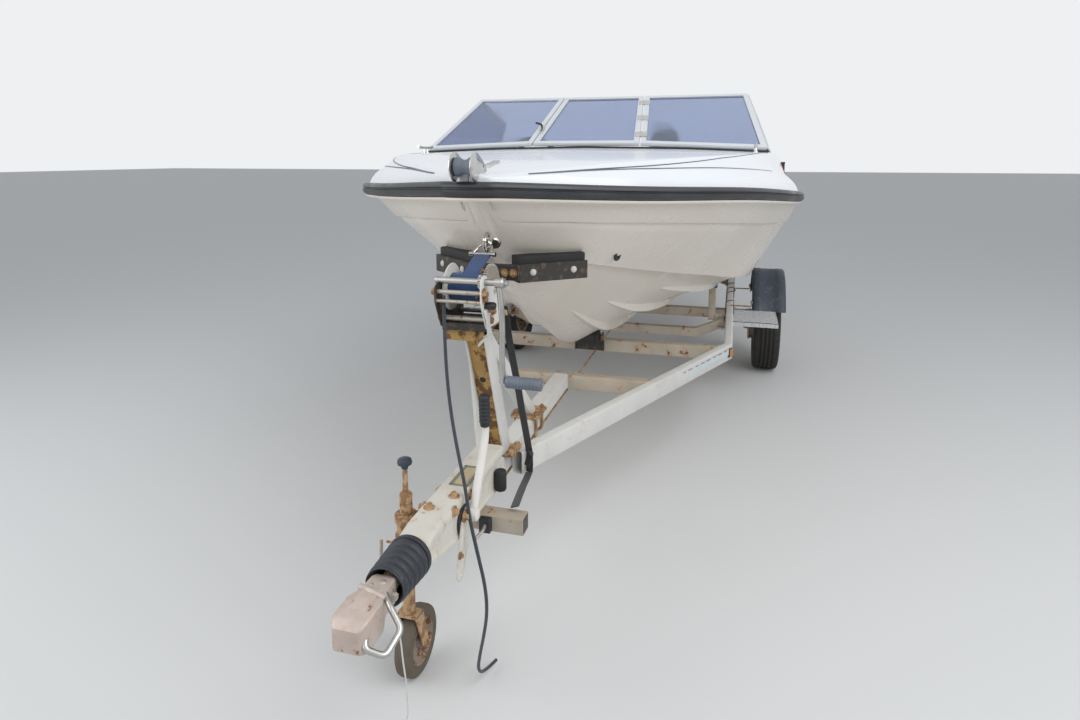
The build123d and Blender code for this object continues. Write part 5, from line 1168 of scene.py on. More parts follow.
def make_rim(side, name):
    """Rolled rim, dished disc with its ring of vents, hub cap, drum and nuts."""
    centre, out = (0, side * TRACK / 2, AXLE_Z), (0, side, 0)
    bead, half = 168, 63

    def off_centre(radius, angle, shift=0):
        return (radius * sin(radians(angle)), side * (TRACK / 2 + shift),
            AXLE_Z + radius * cos(radians(angle)))
    barrel = spun([(bead - 6, -half), (bead + 5, -half - 1), (bead + 11, -half - 3),
        (bead + 13, -half - 6), (bead + 8, -half - 9), (bead - 12, -half - 6), (bead - 13, -half + 20),
        (bead - 34, -24), (bead - 34, 16), (bead - 13, half - 20), (bead - 12, half + 6),
        (bead + 8, half + 9), (bead + 13, half + 6), (bead + 11, half + 3), (bead + 5, half + 1),
        (bead - 6, half), (bead - 7, half - 17), (bead - 28, 20), (bead - 28, -26),
        (bead - 7, 17 - half)], centre, out, 72)
    disc = spun([(90, -2), (118, 4), (128, 1), (bead - 34, -4), (bead - 34, 2), (129, 7), (118, 10),
        (104, 6), (92, 10), (80, 15), (70, 17), (66, 26), (40, 27), (40, 20), (64, 18), (68, 8)], centre,
        out, 72)
    cap = spun([(40, 24), (38, 26), (37, 46), (33, 51), (24, 53), (0, 54), (0, 24)], centre, out, 40)
    drum = spun([(20, -86), (92, -86), (92, -108), (100, -108), (100, -100), (97, -96), (97, -8),
        (100, -4), (100, 0), (20, 0)], centre, out, 60)
    nuts = []
    for a in (45, 135, 225, 315):
        nuts += [spun([(0, 20), (11, 20), (9.5, 29), (0, 29)], off_centre(50, a), out, 14),
            bolt(off_centre(50, a, 26), out, 17, washer=False)]
    wheel = part(name + "_rim_and_drum", combined(barrel, disc, cap, drum, *nuts), "wheel_steel",
        "wheel_steel", name + "_rim", body=name + "_wheel", sharp=40)
    carve(wheel, *[peg(9, -30, 40, off_centre(116, a), out, 16) for a in range(0, 360, 30)])


def make_mudguards():
    """Guards drawn as one moulding: raised crown, rounded shoulders and a rolled lip."""
    middle, cut = TRACK / 2, 385 * sin(radians(25))
    outside = [(331, 2.5), (330, 0), (334, -0.5), (340, 0.5), (364, 0.5), (375, 2.5), (381, 8),
        (384, 16), (384.5, 52), (382, 58), (382, 103)]
    section = [(r, middle - 103 + d) for r, d in outside] + [(r, middle + 103 - d)
        for r, d in reversed(outside[:-1])]
    inside = [(r - 4 if r > 360 else r, min(max(y, middle - 99), middle + 99))
        for r, y in reversed(section)]
    rings = []
    steps = 44
    for k in range(steps + 1):
        ring = []
        for r, y in section + inside:
            start = asin(min(cut / r, 1))
            a = start + (pi - 2 * start) * k / steps
            ring.append((-r * cos(a), y, AXLE_Z + r * sin(a)))
        rings.append(ring)
    part("mudguard_mouldings", both(skin(rings)), "guard", "guard", "mudguards", sharp=50)
    y, z = middle - 103, AXLE_Z + cut
    stays, bolts = [], []
    for x in (-306.9, 306.9):
        stays.append(ribbon([(x, RAIL_Y + 23, z - 5), (x, RAIL_Y + 23, z + 17), (x, RAIL_Y + 28, z + 21),
            (x, y - 10, z + 21), (x, y - 3, z + 27), (x, y - 3, z + 60)], 30, 5, across=AHEAD))
        bolts += [bolt((x, y, z + 46), STARBOARD), dome((x, y + 1, z + 46), PORT, 9, 4),
            bolt((x, RAIL_Y + 26, z + 5), PORT)]
    part("mudguard_stays", both(*stays), "rusty", "rusty_steel", "guard_stays")
    part("mudguard_bolts", both(*bolts), "plated", "rusty_steel", sharp=40)


def make_step_plates():
    """Folded tread plate with its raised bars in crossed pairs."""
    x, y, z = (391, 721), (650, 940), FRAME_BASE
    tread = brick(x, y, (z - 4, z - 1.6))
    front = brick((x[1] - 4, x[1]), y, (z - 28, z - 1.6))
    edge = brick(x, (y[1] - 4, y[1]), (z - 28, z - 1.6))
    bars = []
    pitch = 30
    for i in range(11):
        for j in range(9):
            cx, cy = x[0] + 15 + i * pitch, y[0] + 20 + j * pitch
            lean = 1 if (i + j) % 2 else -1
            for k in (-1, 1):
                mid = Vector((cx + k * 5, cy - lean * k * 5, z - 2))
                way = Vector((cos(radians(45)), lean * sin(radians(45)), 0))
                side = Vector((-way.y, way.x, 0))
                low = [mid + way * a + side * b for a, b in ((-12, 0), (0, 2.6), (12, 0), (0, -2.6))]
                high = [mid + way * a + side * b + Vector((0, 0, 1.9))
                    for a, b in ((-9, 0), (0, 1.2), (9, 0), (0, -1.2))]
                bars.append(skin([low, high]))
    part("step_plates", both(tread, front, edge, *bars), "chequer", "chequer", "step_plates", sharp=25)


def make_hull_supports():
    """Bilge posts as square tubes, each with its arm to the rail, its top plate and bolts."""
    posts, bolts = [], []
    foot, top = FRAME_TOP - 25, KEEL_Z + 95
    for x, y in ((790, 560), (-1415, 540)):
        posts.append(box_tube([(x, y, foot - 30), (x, y, top)], 40, 40, 5))
        posts.append(brick((x - 25, x + 25), (y + 20, RAIL_Y - 20), (foot - 30, foot)))
        posts.append(brick((x - 88, x + 88), (y - 27, y + 27), (top - 1, top + 5)))
        bolts += [bolt((x + 25, y + 45, foot - 15), AHEAD), bolt((x - 25, y + 45, foot - 15), AFT)]
    part("bilge_posts", both(*posts), "rusty_galv", "galvanised", "hull_posts", bevel=1)
    part("bilge_post_bolts", both(*bolts), "plated", "galvanised")


def make_wiring():
    """Lighting wires wound along the port rail, and the amber side marker at its bend."""
    for name, phase in (("red_wire", 0.0), ("brown_wire", pi)):
        path = []
        for k in range(121):
            x = -1650 + 2300 * k / 120
            a = phase + k * 0.3 + 0.7 * sin(0.21 * k)
            ry, rz = 24, 41
            reach = 1 / max(abs(cos(a)) / ry, abs(sin(a)) / rz)
            path.append((x, RAIL_Y + reach * cos(a), (FRAME_TOP + FRAME_BASE) / 2 + reach * sin(a)))
        part("rail_" + name, round_bar(path, 5, 8, 14), name, "grip")
    here, along = Vector((1545, 648 + 24, 0)), Vector((0.92, -0.39, 0))
    out = Vector((0.39, 0.92, 0))

    def slab(half, depth, low, high):
        plan = rounded_plan(-half, half, -2, depth, 2, 3)
        return skin([[here + along * u + out * v + Vector((0, 0, z)) for u, v in plan]
            for z in (low, high)])
    part("side_marker_lens", slab(15, 7, 497, 533), "amber_lens", "red_lamp", bevel=2)
    part("side_marker_frame", slab(18, 3, 494, 536), "abs", "dash", bevel=1)


make_rails()
make_crossmembers()
make_drawbar()
make_axle()
for wheel_side, wheel_name in ((1, "port"), (-1, "starboard")):
    make_tyre(wheel_side, wheel_name)
    make_rim(wheel_side, wheel_name)
make_mudguards()
make_step_plates()
make_hull_supports()
make_wiring()


# Winch stand
POST_X, POST_TOP_X, POST_TOP_Z = 2965, 3130, FRAME_TOP + 440
WINCH_X, WINCH_Z = 3160, FRAME_TOP + 448
DRUM_Z, CRANK_Z, CRANK_X = WINCH_Z + 96, WINCH_Z + 126, 3232.4
HALF_WINCH = 62


def make_winch_post():
    """Leaning pressed post with a stained web, its foot, head box and the clamped brace."""
    foot = Vector((POST_X - 4, 0, FRAME_TOP + 4))
    top = Vector((POST_TOP_X, 0, POST_TOP_Z))
    along = (top - foot).normalized()
    front = Vector((along.z, 0, -along.x))
    section = [(-30, -30), (30, -30), (30, 30), (25, 30), (25, 20), (-25, 20), (-25, 30), (-30, 30)]
    rings = [[here + Vector((0, u, 0)) + front * v for u, v in section] for here in (foot, top)]
    web = [[here + Vector((0, u, 0)) + front * v for u, v in ((-25.5, 19), (25.5, 19), (25.5, 22),
        (-25.5, 22))] for here in (foot, top)]
    brace = box_tube([(2632, 0, 552), (3078, 0, 938)], 40, 40, 5)
    plates = [prism(rounded_plan(2910, 2995, -60, 60, 8), FRAME_TOP, FRAME_TOP + 8),
        prism(rounded_plan(2575, 2695, -50, 50, 8), FRAME_TOP, FRAME_TOP + 8)]
    part("winch_post_channel", combined(skin(rings), brace), "galvanised", "rusty_steel", "winch_post",
        bevel=1.5)
    # The web's two holes are not cut: dark rubber discs laid on it are their painted shade
    hole = front * 23
    hole_shades = []
    for t in (0.42, 0.62):
        here = foot + (top - foot) * t + hole
        hole_shades.append(peg(9, 0, -1, here, front, 20))
    part("winch_post_web", combined(skin(web)), "yellowed", "rusty_steel")
    part("winch_post_holes", combined(*hole_shades), "rubber", "rusty_steel")
    head = prism(rounded_plan(3118, 3206, -61, 30, 5), POST_TOP_Z - 30, POST_TOP_Z + 6)
    seat = prism(rounded_plan(3062, 3209, -61, 61, 6), POST_TOP_Z + 1, POST_TOP_Z + 8)
    part("winch_head_box", combined(head, seat), "yellowed", "rusty_steel", bevel=1.5)
    clamps, nuts = [], []
    for x in (2598, 2672):
        clamps.append(round_bar([(x, -37, 574), (x, -37, 482), (x, 37, 482), (x, 37, 574)], 10, 12, 12))
        nuts += [bolt((x, y, 558), UP, 16) for y in (-37, 37)]
    for x in (2922, 2984):
        nuts += [bolt((x, y, 558), UP, 15) for y in (-48, 48)]
    part("winch_post_plates", combined(*plates, *clamps), "rusty", "rusty_steel", bevel=1)
    part("winch_post_nuts", combined(*nuts), "rusty", "rusty_steel")


def make_winch_frame():
    """Dark starboard cheek, pale port cheek with its bolts, base, spacer rods and the side bar."""
    starboard_cheek = [(-90, 0), (62, 0), (100, 74), (100, 112), (74, 124), (14, 118), (-24, 112),
        (-68, 44), (-90, 30)]
    port_cheek = [(-90, 0), (62, 0), (100, 74), (100, 132), (88, 142), (60, 142), (46, 118), (4, 114),
        (-22, 104), (-30, 50), (-90, 26)]
    dark = plate(shifted(starboard_cheek, WINCH_X, WINCH_Z), -HALF_WINCH - 2, -HALF_WINCH + 2, 8)
    base = brick((WINCH_X - 88, WINCH_X + 55), (-HALF_WINCH, HALF_WINCH), (WINCH_Z, WINCH_Z + 4))
    lip = brick((WINCH_X + 52, WINCH_X + 58), (-HALF_WINCH, HALF_WINCH), (WINCH_Z - 8, WINCH_Z + 12))
    part("winch_frame_plates", combined(dark, base, lip), "dark_steel", "rusty_steel", "winch_frame",
        bevel=1)
    pale = plate(shifted(port_cheek, WINCH_X, WINCH_Z), HALF_WINCH - 2, HALF_WINCH + 2, 8)
    bar = ribbon(shifted([(44, -26, -44), (52, 5, -14), (66, 7, 30), (78, 5, 58)], WINCH_X, HALF_WINCH,
        WINCH_Z), 26, 5, across=(1, 0, -0.4))
    part("winch_port_cheek", combined(pale, bar), "galvanised", "rusty_steel", bevel=1)
    rods, nuts = [], []
    for dx, dz, d in ((-70, 18, 13), (46, 22, 15), (84, 98, 12)):
        a, b = WINCH_X + dx, WINCH_Z + dz
        rods.append(round_bar([(a, -HALF_WINCH, b), (a, HALF_WINCH, b)], d, 16))
        nuts += [bolt((a, HALF_WINCH + 2, b), PORT, 16), bolt((a, -HALF_WINCH - 2, b), STARBOARD, 16)]
    rods.append(round_bar([(WINCH_X + 92, -HALF_WINCH, WINCH_Z + 76),
        (WINCH_X + 92, HALF_WINCH, WINCH_Z + 76)], 9, 14))
    for dx, dz in ((60, 52), (82, 84), (20, 40)):
        nuts.append(bolt((WINCH_X + dx, HALF_WINCH + 2, WINCH_Z + dz), PORT))
    part("winch_spacer_rods", combined(*rods), "plated", "galvanised", sharp=40)
    part("winch_nuts", combined(*nuts), "rusty", "rusty_steel")
    pawl = plate(shifted([(58, 92), (92, 80), (96, 90), (66, 112)], WINCH_X, WINCH_Z), HALF_WINCH - 16,
        HALF_WINCH - 8, 3)
    part("winch_pawl", pawl, "dark_steel", "rusty_steel", bevel=0.8)
    stub = spun([(0, 0), (9, 0), (10, 3), (10, 24), (7, 28), (0, 28)],
        (WINCH_X + 72, HALF_WINCH + 2, WINCH_Z + 66), PORT, 20)
    part("winch_ratchet_knob", stub, "abs", "grip")


def gear(teeth, module, thickness, centre, turn, bore):
    """A spur wheel about the Y axis, with sloping sides to its teeth and an open bore."""
    radius = teeth * module / 2
    outer = []
    for k in range(teeth):
        for share, reach in ((-0.38, -1.2), (-0.3, -1.1), (-0.14, 0.8), (-0.08, 0.95), (0.08, 0.95),
                (0.14, 0.8), (0.3, -1.1), (0.38, -1.2)):
            a = 2 * pi * (k + share) / teeth + turn
            outer.append((radius + reach * module, a))
    rows = []
    half = thickness / 2
    for side, shrink, fixed in ((-half, 0, bore), (-half, 3, None), (-half + 0.6, 0, None),
            (half - 0.6, 0, None), (half, 3, None), (half, 0, bore)):
        ring = []
        for r, a in outer:
            reach = fixed if fixed is not None else r - shrink * 0.25
            ring.append((centre[0] + reach * cos(a), centre[1] + side, centre[2] + reach * sin(a)))
        rows.append(ring)
    return skin(rows, wrap=True)


def make_winch_drum():
    """Drum core between pale flanges, its big gear, the pinion with its crank, and the grip."""
    inner = HALF_WINCH - 4
    gear_y = inner - 4.5
    centre, axis = (WINCH_X, 0, DRUM_Z), PORT
    spool = [(25, 5 - inner), (56, 4 - inner), (62, 3.5 - inner), (63.5, 1.5 - inner), (62, -inner),
        (10, -inner), (10, -72), (0, -72), (0, 72), (10, 72), (10, inner - 9), (53, inner - 9),
        (54.5, inner - 10.5), (53, inner - 12.5), (46, inner - 13), (25, inner - 14)]
    part("winch_drum_spool", spun(spool, centre, axis, 64), "spool_white", "galvanised", "winch_drum")
    lean = asin(30 / 78.4)
    wheel = gear(45, 2.8, 9, (WINCH_X, gear_y, DRUM_Z), lean, 10)
    dish = spun([(10, 4.6), (24, 7), (26, 4.6), (10, 4)], (WINCH_X, gear_y, DRUM_Z), axis, 32)
    part("winch_gear", combined(wheel, dish), "plated", "galvanised", sharp=25)
    pinion = gear(11, 2.8, 9, (CRANK_X, gear_y, CRANK_Z), pi + lean + pi / 11, 8.5)
    arm_y = HALF_WINCH + 46
    shaft = round_bar([(CRANK_X, -HALF_WINCH - 8, CRANK_Z), (CRANK_X, arm_y, CRANK_Z)], 17.6, 20)
    arm = round_bar(shifted([(0, -9, 12), (6, 4, -90), (-10, -4, -190), (-6, 0, -262)], CRANK_X, arm_y,
        CRANK_Z), 15, 16, 50)
    pin = round_bar([(CRANK_X - 6, arm_y - 10, CRANK_Z - 258),
        (CRANK_X - 6, arm_y + 106, CRANK_Z - 258)], 9, 14)
    hub = spun([(8, -11), (14, -10), (14, 8), (11, 11), (0, 11), (0, -11)],
        (CRANK_X, arm_y - 4, CRANK_Z), axis, 24)
    part("winch_crank_bar", combined(pinion, shaft, arm, pin, hub,
        bolt((CRANK_X, arm_y + 7, CRANK_Z), axis)), "bright_steel", "galvanised", "winch_crank", sharp=40)
    line = [(5, 8), (13, 8), (15.5, 11)]
    for k in range(9):
        line += [(16, 13 + k * 9), (16, 19 + k * 9), (15, 20 + k * 9), (15, 21 + k * 9)]
    line += [(16, 96), (17, 98), (16, 103), (12, 104), (5, 104)]
    part("crank_handgrip", spun(line, (CRANK_X - 6, arm_y, CRANK_Z - 258), axis, 36), "grey_grip",
        "grip", "crank_grip")


def make_straps():
    """Blue webbing in turns on the drum with its run to the bow, and the black tie on the rail."""
    inner = HALF_WINCH - 4
    low, high = 6 - inner, inner - 15
    coils = []
    for k in range(4):
        radius = 27 + 3.0 * k
        shift = chance.uniform(-1.2, 1.2)
        coils.append(spun([(radius - 2, low + 1 + shift / 2), (radius, low + shift),
            (radius + 2.2, low + 0.6 + shift), (radius + 2.2, high - 0.6 + shift / 2),
            (radius, high + shift / 2), (radius - 2, high)], (WINCH_X, 0, DRUM_Z), PORT, 64))
    pin = Vector((3076, 0, 1172))
    drum = Vector((WINCH_X, 0, DRUM_Z))
    reach = pin - drum
    radius = 36.5
    angle = atan2(reach.z, reach.x) - acos(radius / reach.length)
    leave = drum + Vector((cos(angle), 0, sin(angle))) * radius
    run = [drum + Vector((cos(angle - k), 0, sin(angle - k))) * radius for k in (0.9, 0.6, 0.3)]
    run += [leave + (pin - leave) * t for t in (0, 0.25, 0.5, 0.75, 0.94)]
    run += [pin + Vector((-6, 0, 3)), pin + Vector((-7, 0, -5))]
    back = [run[-1], pin + Vector((2, 0, -7)), leave + (pin - leave) * 0.7 + Vector((0, 0, -5)),
        leave + (pin - leave) * 0.45 + Vector((0, 0, -4))]
    strap = combined(*coils, ribbon(run, 44, 3), ribbon(back, 44, 3))
    part("winch_webbing", strap, "webbing", "webbing", "winch_strap", sharp=40)
    tie = [(3092, 66, 1034), (3068, 70, 950), (3042, 74, 870), (3014, 79, 790), (2986, 83, 700),
        (2958, 87, 620), (2940, 89, 570), (2933, 90, 548), (2932, 91, 510), (2934, 90, 482),
        (2962, 91, 477), (3030, 98, 480), (3100, 108, 486), (3166, 118, 492)]
    wrap = [(2928, 84, 556), (2930, 92, 540), (2936, 88, 520), (2940, 82, 506)]
    tail = [(2936, 92, 552), (2952, 104, 548), (2964, 106, 556)]
    black = combined(ribbon(tie[:10], 25, 3, across=(0.35, 1, 0)),
        ribbon(tie[9:], 25, 3, across=(0, 1, 0.3)), ribbon(wrap, 24, 4, across=(0.3, 1, 0)),
        ribbon(tail, 10, 3))
    part("rail_tie_webbing", black, "black_webbing", "webbing", "winch_strap", sharp=40)


def make_snubber():
    """Rubber blocks in a V against the stem, in dark channels with two dome headed bolts each."""
    z = KEEL_Z + 515
    inner, outer = Vector((2935, 34, 0)), Vector((2790, 205, 0))
    middle, along = (inner + outer) / 2, (outer - inner).normalized()
    front = Vector((along.y, -along.x, 0))
    length = (outer - inner).length

    def slab(x, y, height, radius):
        plan = rounded_plan(x[0], x[1], y[0], y[1], radius, 3)
        return skin([[middle + along * u - front * v + Vector((0, 0, z + h)) for u, v in plan]
            for h in height])
    half = length / 2
    block = slab((-half, half), (-51, -3), (-35, 35), 9)
    part("snubber_blocks", both(block), "rubber", "dark_rubber", "snubber_pads", bevel=4)
    channel = combined(slab((-half, half), (-64, -54), (-36, 12), 3),
        slab((-half, half), (-64, -16), (-41, -35.5), 3))
    yoke = brick((2970, 2997), (-78, 78), (z - 32, z + 12))
    neck = brick((2990, 3070), (-24, 24), (z - 32, z - 6))
    stay = box_tube([(3060, 0, 930), (2985, 0, z - 26)], 30, 20, 3)
    part("snubber_channels", combined(both(channel), yoke, neck, stay), "dark_steel", "rusty_steel",
        "snubber_arms", bevel=1.2)
    heads = []
    for u in (-half + 45, half - 48):
        place = middle + along * u + front * 64 + Vector((0, 0, z - 12))
        heads.append(dome(place, front, 10, 6))
    part("snubber_bolts", both(*heads), "spool_white", "galvanised")
    part("snubber_yoke_bolts", both(*[bolt((2998, y, z - 10), AHEAD) for y in (36, 62)]), "rusty",
        "rusty_steel")


# Hitch
def make_hitch():
    """Pressed overrun housing with its side ribs, top plate, quadrant, cross beam and end cap."""
    stations = [(3030, 485, 602), (3140, 491, 602), (3280, 498, 602), (3400, 504, 602), (3460, 515, 602),
        (3490, 521, 601), (3530, 532, 594), (3550, 536, 588)]

    def ring(x, low, high):
        half = [(0, high), (31, high), (36.5, high - 2), (40, high - 7), (40, high - 24),
            (38.5, high - 28), (36, high - 31), (36, low + 16), (37, low + 12), (40, low + 9),
            (40, low + 2), (38, low), (0, low)]
        port = [(x, y, z) for y, z in half]
        return port + [(x, -y, z) for x, y, z in reversed(port[1:-1])]
    body = skin([ring(*s) for s in stations])
    x = (3145, 3195)
    beam = box_tube([(x[0] + 25, -60, FRAME_BASE - 25), (x[0] + 25, 150, FRAME_BASE - 25)], 50, 50, 6)
    part("hitch_pressing", body, "hitch_paint", "rusty_steel", "hitch_housing", bevel=1)
    part("hitch_cross_beam", beam, "rusty_galv", "rusty_steel")
    caps = combined(brick((x[1] - 2, x[1] + 18), (30, 62), (FRAME_BASE - 46, FRAME_BASE - 6)),
        brick((x[0] + 4, x[1] - 4), (147, 151), (FRAME_BASE - 46, FRAME_BASE - 4)))
    part("cross_beam_caps", caps, "abs", "dash", bevel=3)
    roll = spun([(0, 0), (15, 0), (17, 4), (17, 54), (15, 58), (0, 58)], (3098, 54, 500), UP, 28)
    part("rubber_stop", roll, "rubber", "dark_rubber")
    y = 40
    disc = spun([(0, 4), (36, 4), (38, 2), (38, -1), (0, -1)], (3340, y, 538), PORT, 40)
    part("brake_lever_disc", disc, "abs", "dash")
    quadrant = plate([(3345, 572), (3372, 544), (3408, 424), (3396, 398), (3372, 404), (3304, 520),
        (3312, 566)], y + 4, y + 9, 12)
    slot = [(3352, 500), (3362, 504), (3384, 440), (3376, 434)]
    sector = part("brake_quadrant", quadrant, "hitch_paint", "rusty_steel", bevel=1)
    carve(sector, plate(slot, y, y + 20, 4), peg(6, -10, 20, (3386, y, 418), PORT, 16))
    frame_z = 602
    rim = [ribbon([(*a, frame_z + 0.5), (*b, frame_z + 0.5)], 9, 2.5,
        across=(b[1] - a[1], a[0] - b[0], 0))
        for a, b in (((3185, -14), (3296, -14)), ((3185, 30), (3296, 30)), ((3187, -17), (3187, 33)),
        ((3294, -17), (3294, 33)))]
    part("top_plate_seal", combined(*rim), "moss", "rusty_steel")
    part("top_plate", brick((3196, 3286), (-6, 22), (frame_z - 1, frame_z + 2)), "tan_plate",
        "rusty_steel", bevel=0.8)
    heads = [bolt((px, py, 602), UP, 15) for px, py in ((3420, -16), (3352, 20))]
    heads += [bolt((px, 40, pz), PORT, 15) for px, pz in ((3300, 584), (3400, 590))]
    heads += [bolt((px, -40, pz), STARBOARD, 15) for px, pz in ((3300, 584), (3400, 590), (3160, 560))]
    heads += [bolt((3355, 49, 556), PORT, 17), bolt((3390, 49, 470), PORT, 10)]
    part("hitch_bolts", combined(*heads), "rusty", "rusty_steel")
    pin = round_bar([(3213, 48, 452), (3232, 50, 448), (3262, 40, 441)], 9, 12, 8)
    hook = round_bar([(3500, -36, 520), (3514, -70, 518), (3540, -82, 526), (3532, -84, 572)], 8, 12, 8)
    part("breakaway_hook", combined(pin, hook), "plated", "rusty_steel")


def make_bellows():
    """Rubber gaiter with five soft folds, open in front round the shaft."""
    line = [(30, 6), (48, 2), (51, 5), (51.5, 12), (50.5, 17)]
    fold = 20.5
    for k in range(5):
        start, reach = 18 + k * fold, 51 - 1.1 * k
        line += [(reach - 4.5, start), (reach - 1.5, start + 3), (reach, start + 8),
            (reach - 0.5, start + 14), (reach - 2.5, start + 18.5)]
    line += [(43, 121), (44.5, 124), (43, 126), (40, 124), (35, 108), (30, 84), (26, 60), (24, 40)]
    part("gaiter", spun(line, (3550, 0, HITCH_Z), AHEAD, 64), "gaiter_rubber", "dark_rubber",
        "hitch_bellows", sharp=60)


def make_coupling():
    """Shaft, pressed neck and the worn cast head with its latch and loop handle."""
    shaft = round_bar([(3400, 0, HITCH_Z), (3694, 0, HITCH_Z)], 41.6, 40)
    stations = [(3668, 24, 24, 0), (3680, 27, 27, 0), (3722, 27.5, 28, -1), (3744, 36, 32, -4),
        (3752, 38.5, 34, -5), (3804, 38.5, 34, -9), (3809, 37, 32.5, -10), (3822, 30, 26, -11.5),
        (3825, 27, 23, -12)]
    rings = []
    for x, half_y, half_z, drop in stations:
        power = 0.16
        ring = []
        for a in turns(36):
            c, s = cos(a), sin(a)
            ring.append((x, half_y * (abs(c) ** power) * (1 if c > 0 else -1),
                HITCH_Z + drop + half_z * (abs(s) ** power) * (1 if s > 0 else -1)))
        rings.append(ring)
    head = part("coupling_casting", skin(rings), "casting", "rusty_steel", "coupling_head", sharp=50)
    socket = HITCH_Z - 42
    carve(head, spun([(0, -30), (25.5, -30), (25.5, 22), (20, 30), (0, 34)], (3780, 0, socket), UP, 32))
    part("coupling_shaft", shaft, "tan_plate", "rusty_steel")
    handle = round_bar(shifted([(3722, 30, 22), (3742, 46, 18), (3764, 84, -12), (3812, 74, -36),
        (3818, 34, -24), (3800, 30, -4)], 0, 0, HITCH_Z), 13, 16, 12)
    fork = round_bar(shifted([(3718, -30, 26), (3734, 0, 33), (3738, 36, 26)], 0, 0, HITCH_Z), 13, 16, 12)
    part("coupling_loop", handle, "bright_steel", "galvanised", sharp=60)
    latch = skin([[(x, y, HITCH_Z + z) for y, z in ((-22, h), (22, h), (17, h + rise), (-17, h + rise))]
        for x, h, rise in ((3716, 26, 3), (3730, 27, 8), (3766, 24, 9), (3786, 23, 3))])
    heads = [dome((3694, 8, HITCH_Z + 27), UP, 8, 3), dome((3708, -12, HITCH_Z + 27.5), UP, 6, 2),
        bolt((3694, 27, HITCH_Z), PORT, 15), bolt((3694, -27, HITCH_Z), STARBOARD, 15)]
    part("coupling_latch", combined(latch, fork), "casting", "rusty_steel", bevel=1)
    part("coupling_rivets", combined(*heads), "plated", "rusty_steel")


def make_handbrake():
    """White lever tube bent up from its pivot, with a ribbed black grip."""
    y = 58
    lever = round_bar([(3325, y, HITCH_Z - 14), (3222, y, 722), (3230, y, 790)], 22, 24, 60, taper=0.86)
    pivot = spun([(0, -14), (15, -14), (16, -12), (16, 12), (13, 15), (0, 15)], (3325, y, HITCH_Z - 14),
        PORT, 28)
    part("handbrake_tube", combined(lever, pivot), "white_paint", "galvanised", "handbrake_lever",
        sharp=50)
    line = [(8, 0), (12, 0), (13, 3), (12.5, 8)]
    for k in range(6):
        line += [(14.8, 12 + k * 10), (14.8, 17 + k * 10), (13, 19 + k * 10), (13, 20.5 + k * 10)]
    line += [(14.6, 74), (14.8, 80), (13, 85), (8, 86.5), (0, 86.5), (0, 0)]
    axis = (5, 0, 86)
    part("handbrake_handgrip", spun(line, (3228, y, 742), axis, 32), "grip", "grip", "handbrake_grip",
        sharp=60)


def make_jockey():
    """Clamp with its screw, sliding leg with knob, bent fork plates and the worn wheel."""
    x, y = 3280, -150
    low = FRAME_BASE - 60
    collar = spun([(17.6, 0), (29, 0), (31, 3), (31, 22), (26, 26), (26, 52), (31, 56), (31, 77),
        (29, 80), (17.6, 80)], (x, y, low), UP, 40)
    arm = brick((x - 24, x + 24), (y + 22, -40), (low + 58, low + 80))
    ear = brick((x - 24, x + 24), (-48, -40), (low + 58, HITCH_Z + 20))
    screw = spun([(0, 0), (6, 0), (6, 34), (11, 35), (11, 42), (0, 42)], (x + 27, y, low + 30), AHEAD, 20)
    bar = round_bar([(x + 64, y - 26, low + 30), (x + 64, y + 26, low + 30)], 7, 12)
    part("jockey_clamp_collar", combined(collar, arm, ear, screw, bar), "rusty", "rusty_steel",
        "jockey_clamp", bevel=1)
    part("jockey_clamp_bolts",
        combined(*[bolt((x + dx, -48, HITCH_Z - 2), STARBOARD, 15) for dx in (-13, 13)]), "rusty",
        "rusty_steel")
    leg = spun([(10.2, 206), (17.2, 206), (17.2, 522), (15.8, 523), (15.8, 527), (17.2, 528),
        (17.2, 549), (15, 553), (8, 556), (7, 600), (6.5, 628), (0, 628), (0, 280), (10.2, 276)],
        (x, y, 0), UP, 36)
    part("jockey_leg_tube", leg, "rusty", "rusty_steel", "jockey_leg", body="jockey_leg")
    knob = spun([(6, 620), (9, 622), (11, 630), (19, 634), (20, 640), (18, 647), (10, 651.5), (0, 652)],
        (x, y, 0), UP, 36)
    part("jockey_leg_knob", knob, "knob_blue", "dash", body="jockey_leg")
    wheel_z, wheel_x = 95, x - 35
    cheeks = []
    for side in (-1, 1):
        dy = side * 28.5
        outline = [(x + 22, 205), (x - 22, 205), (wheel_x - 17, wheel_z - 4),
            (wheel_x - 10, wheel_z - 14), (wheel_x + 10, wheel_z - 14), (wheel_x + 17, wheel_z - 4)]
        cheeks.append(plate(outline, y + dy - 2.5, y + dy + 2.5, 6))
        cheeks.append(bolt((wheel_x, y + dy + side * 2.5, wheel_z), (0, side, 0), 15))
    crown = brick((x - 23, x + 23), (y - 31, y + 31), (199.5, 204.5))
    stem = round_bar([(x, y, 202), (x, y, 272)], 19.8, 24)
    pin = round_bar([(wheel_x, y - 30, wheel_z), (wheel_x, y + 30, wheel_z)], 11.8, 16)
    part("jockey_fork_plates", combined(*cheeks, crown, stem, pin), "rusty", "rusty_steel",
        "jockey_fork", body="jockey_fork", bevel=0.8)
    centre, axis = (wheel_x, y, wheel_z), PORT
    tyre = spun([(62, -20), (66, -22), (86, -23), (92, -19), (94.7, -12), (95, 0), (94.7, 12), (92, 19),
        (86, 23), (66, 22), (62, 20)], centre, axis, 64)
    part("jockey_wheel_tyre", tyre, "dusty_rubber", "tyre", body="jockey_wheel")
    disc = spun([(6.1, -22), (14, -22), (16, -18), (20, -9), (44, -7), (54, -14), (58, -21), (62, -22),
        (63, -19), (63, 19), (62, 22), (58, 21), (54, 14), (44, 7), (20, 9), (16, 18), (14, 22),
        (6.1, 22)], centre, axis, 56)
    part("jockey_wheel_disc", disc, "wheel_steel", "wheel_steel", "jockey_wheel", body="jockey_wheel")


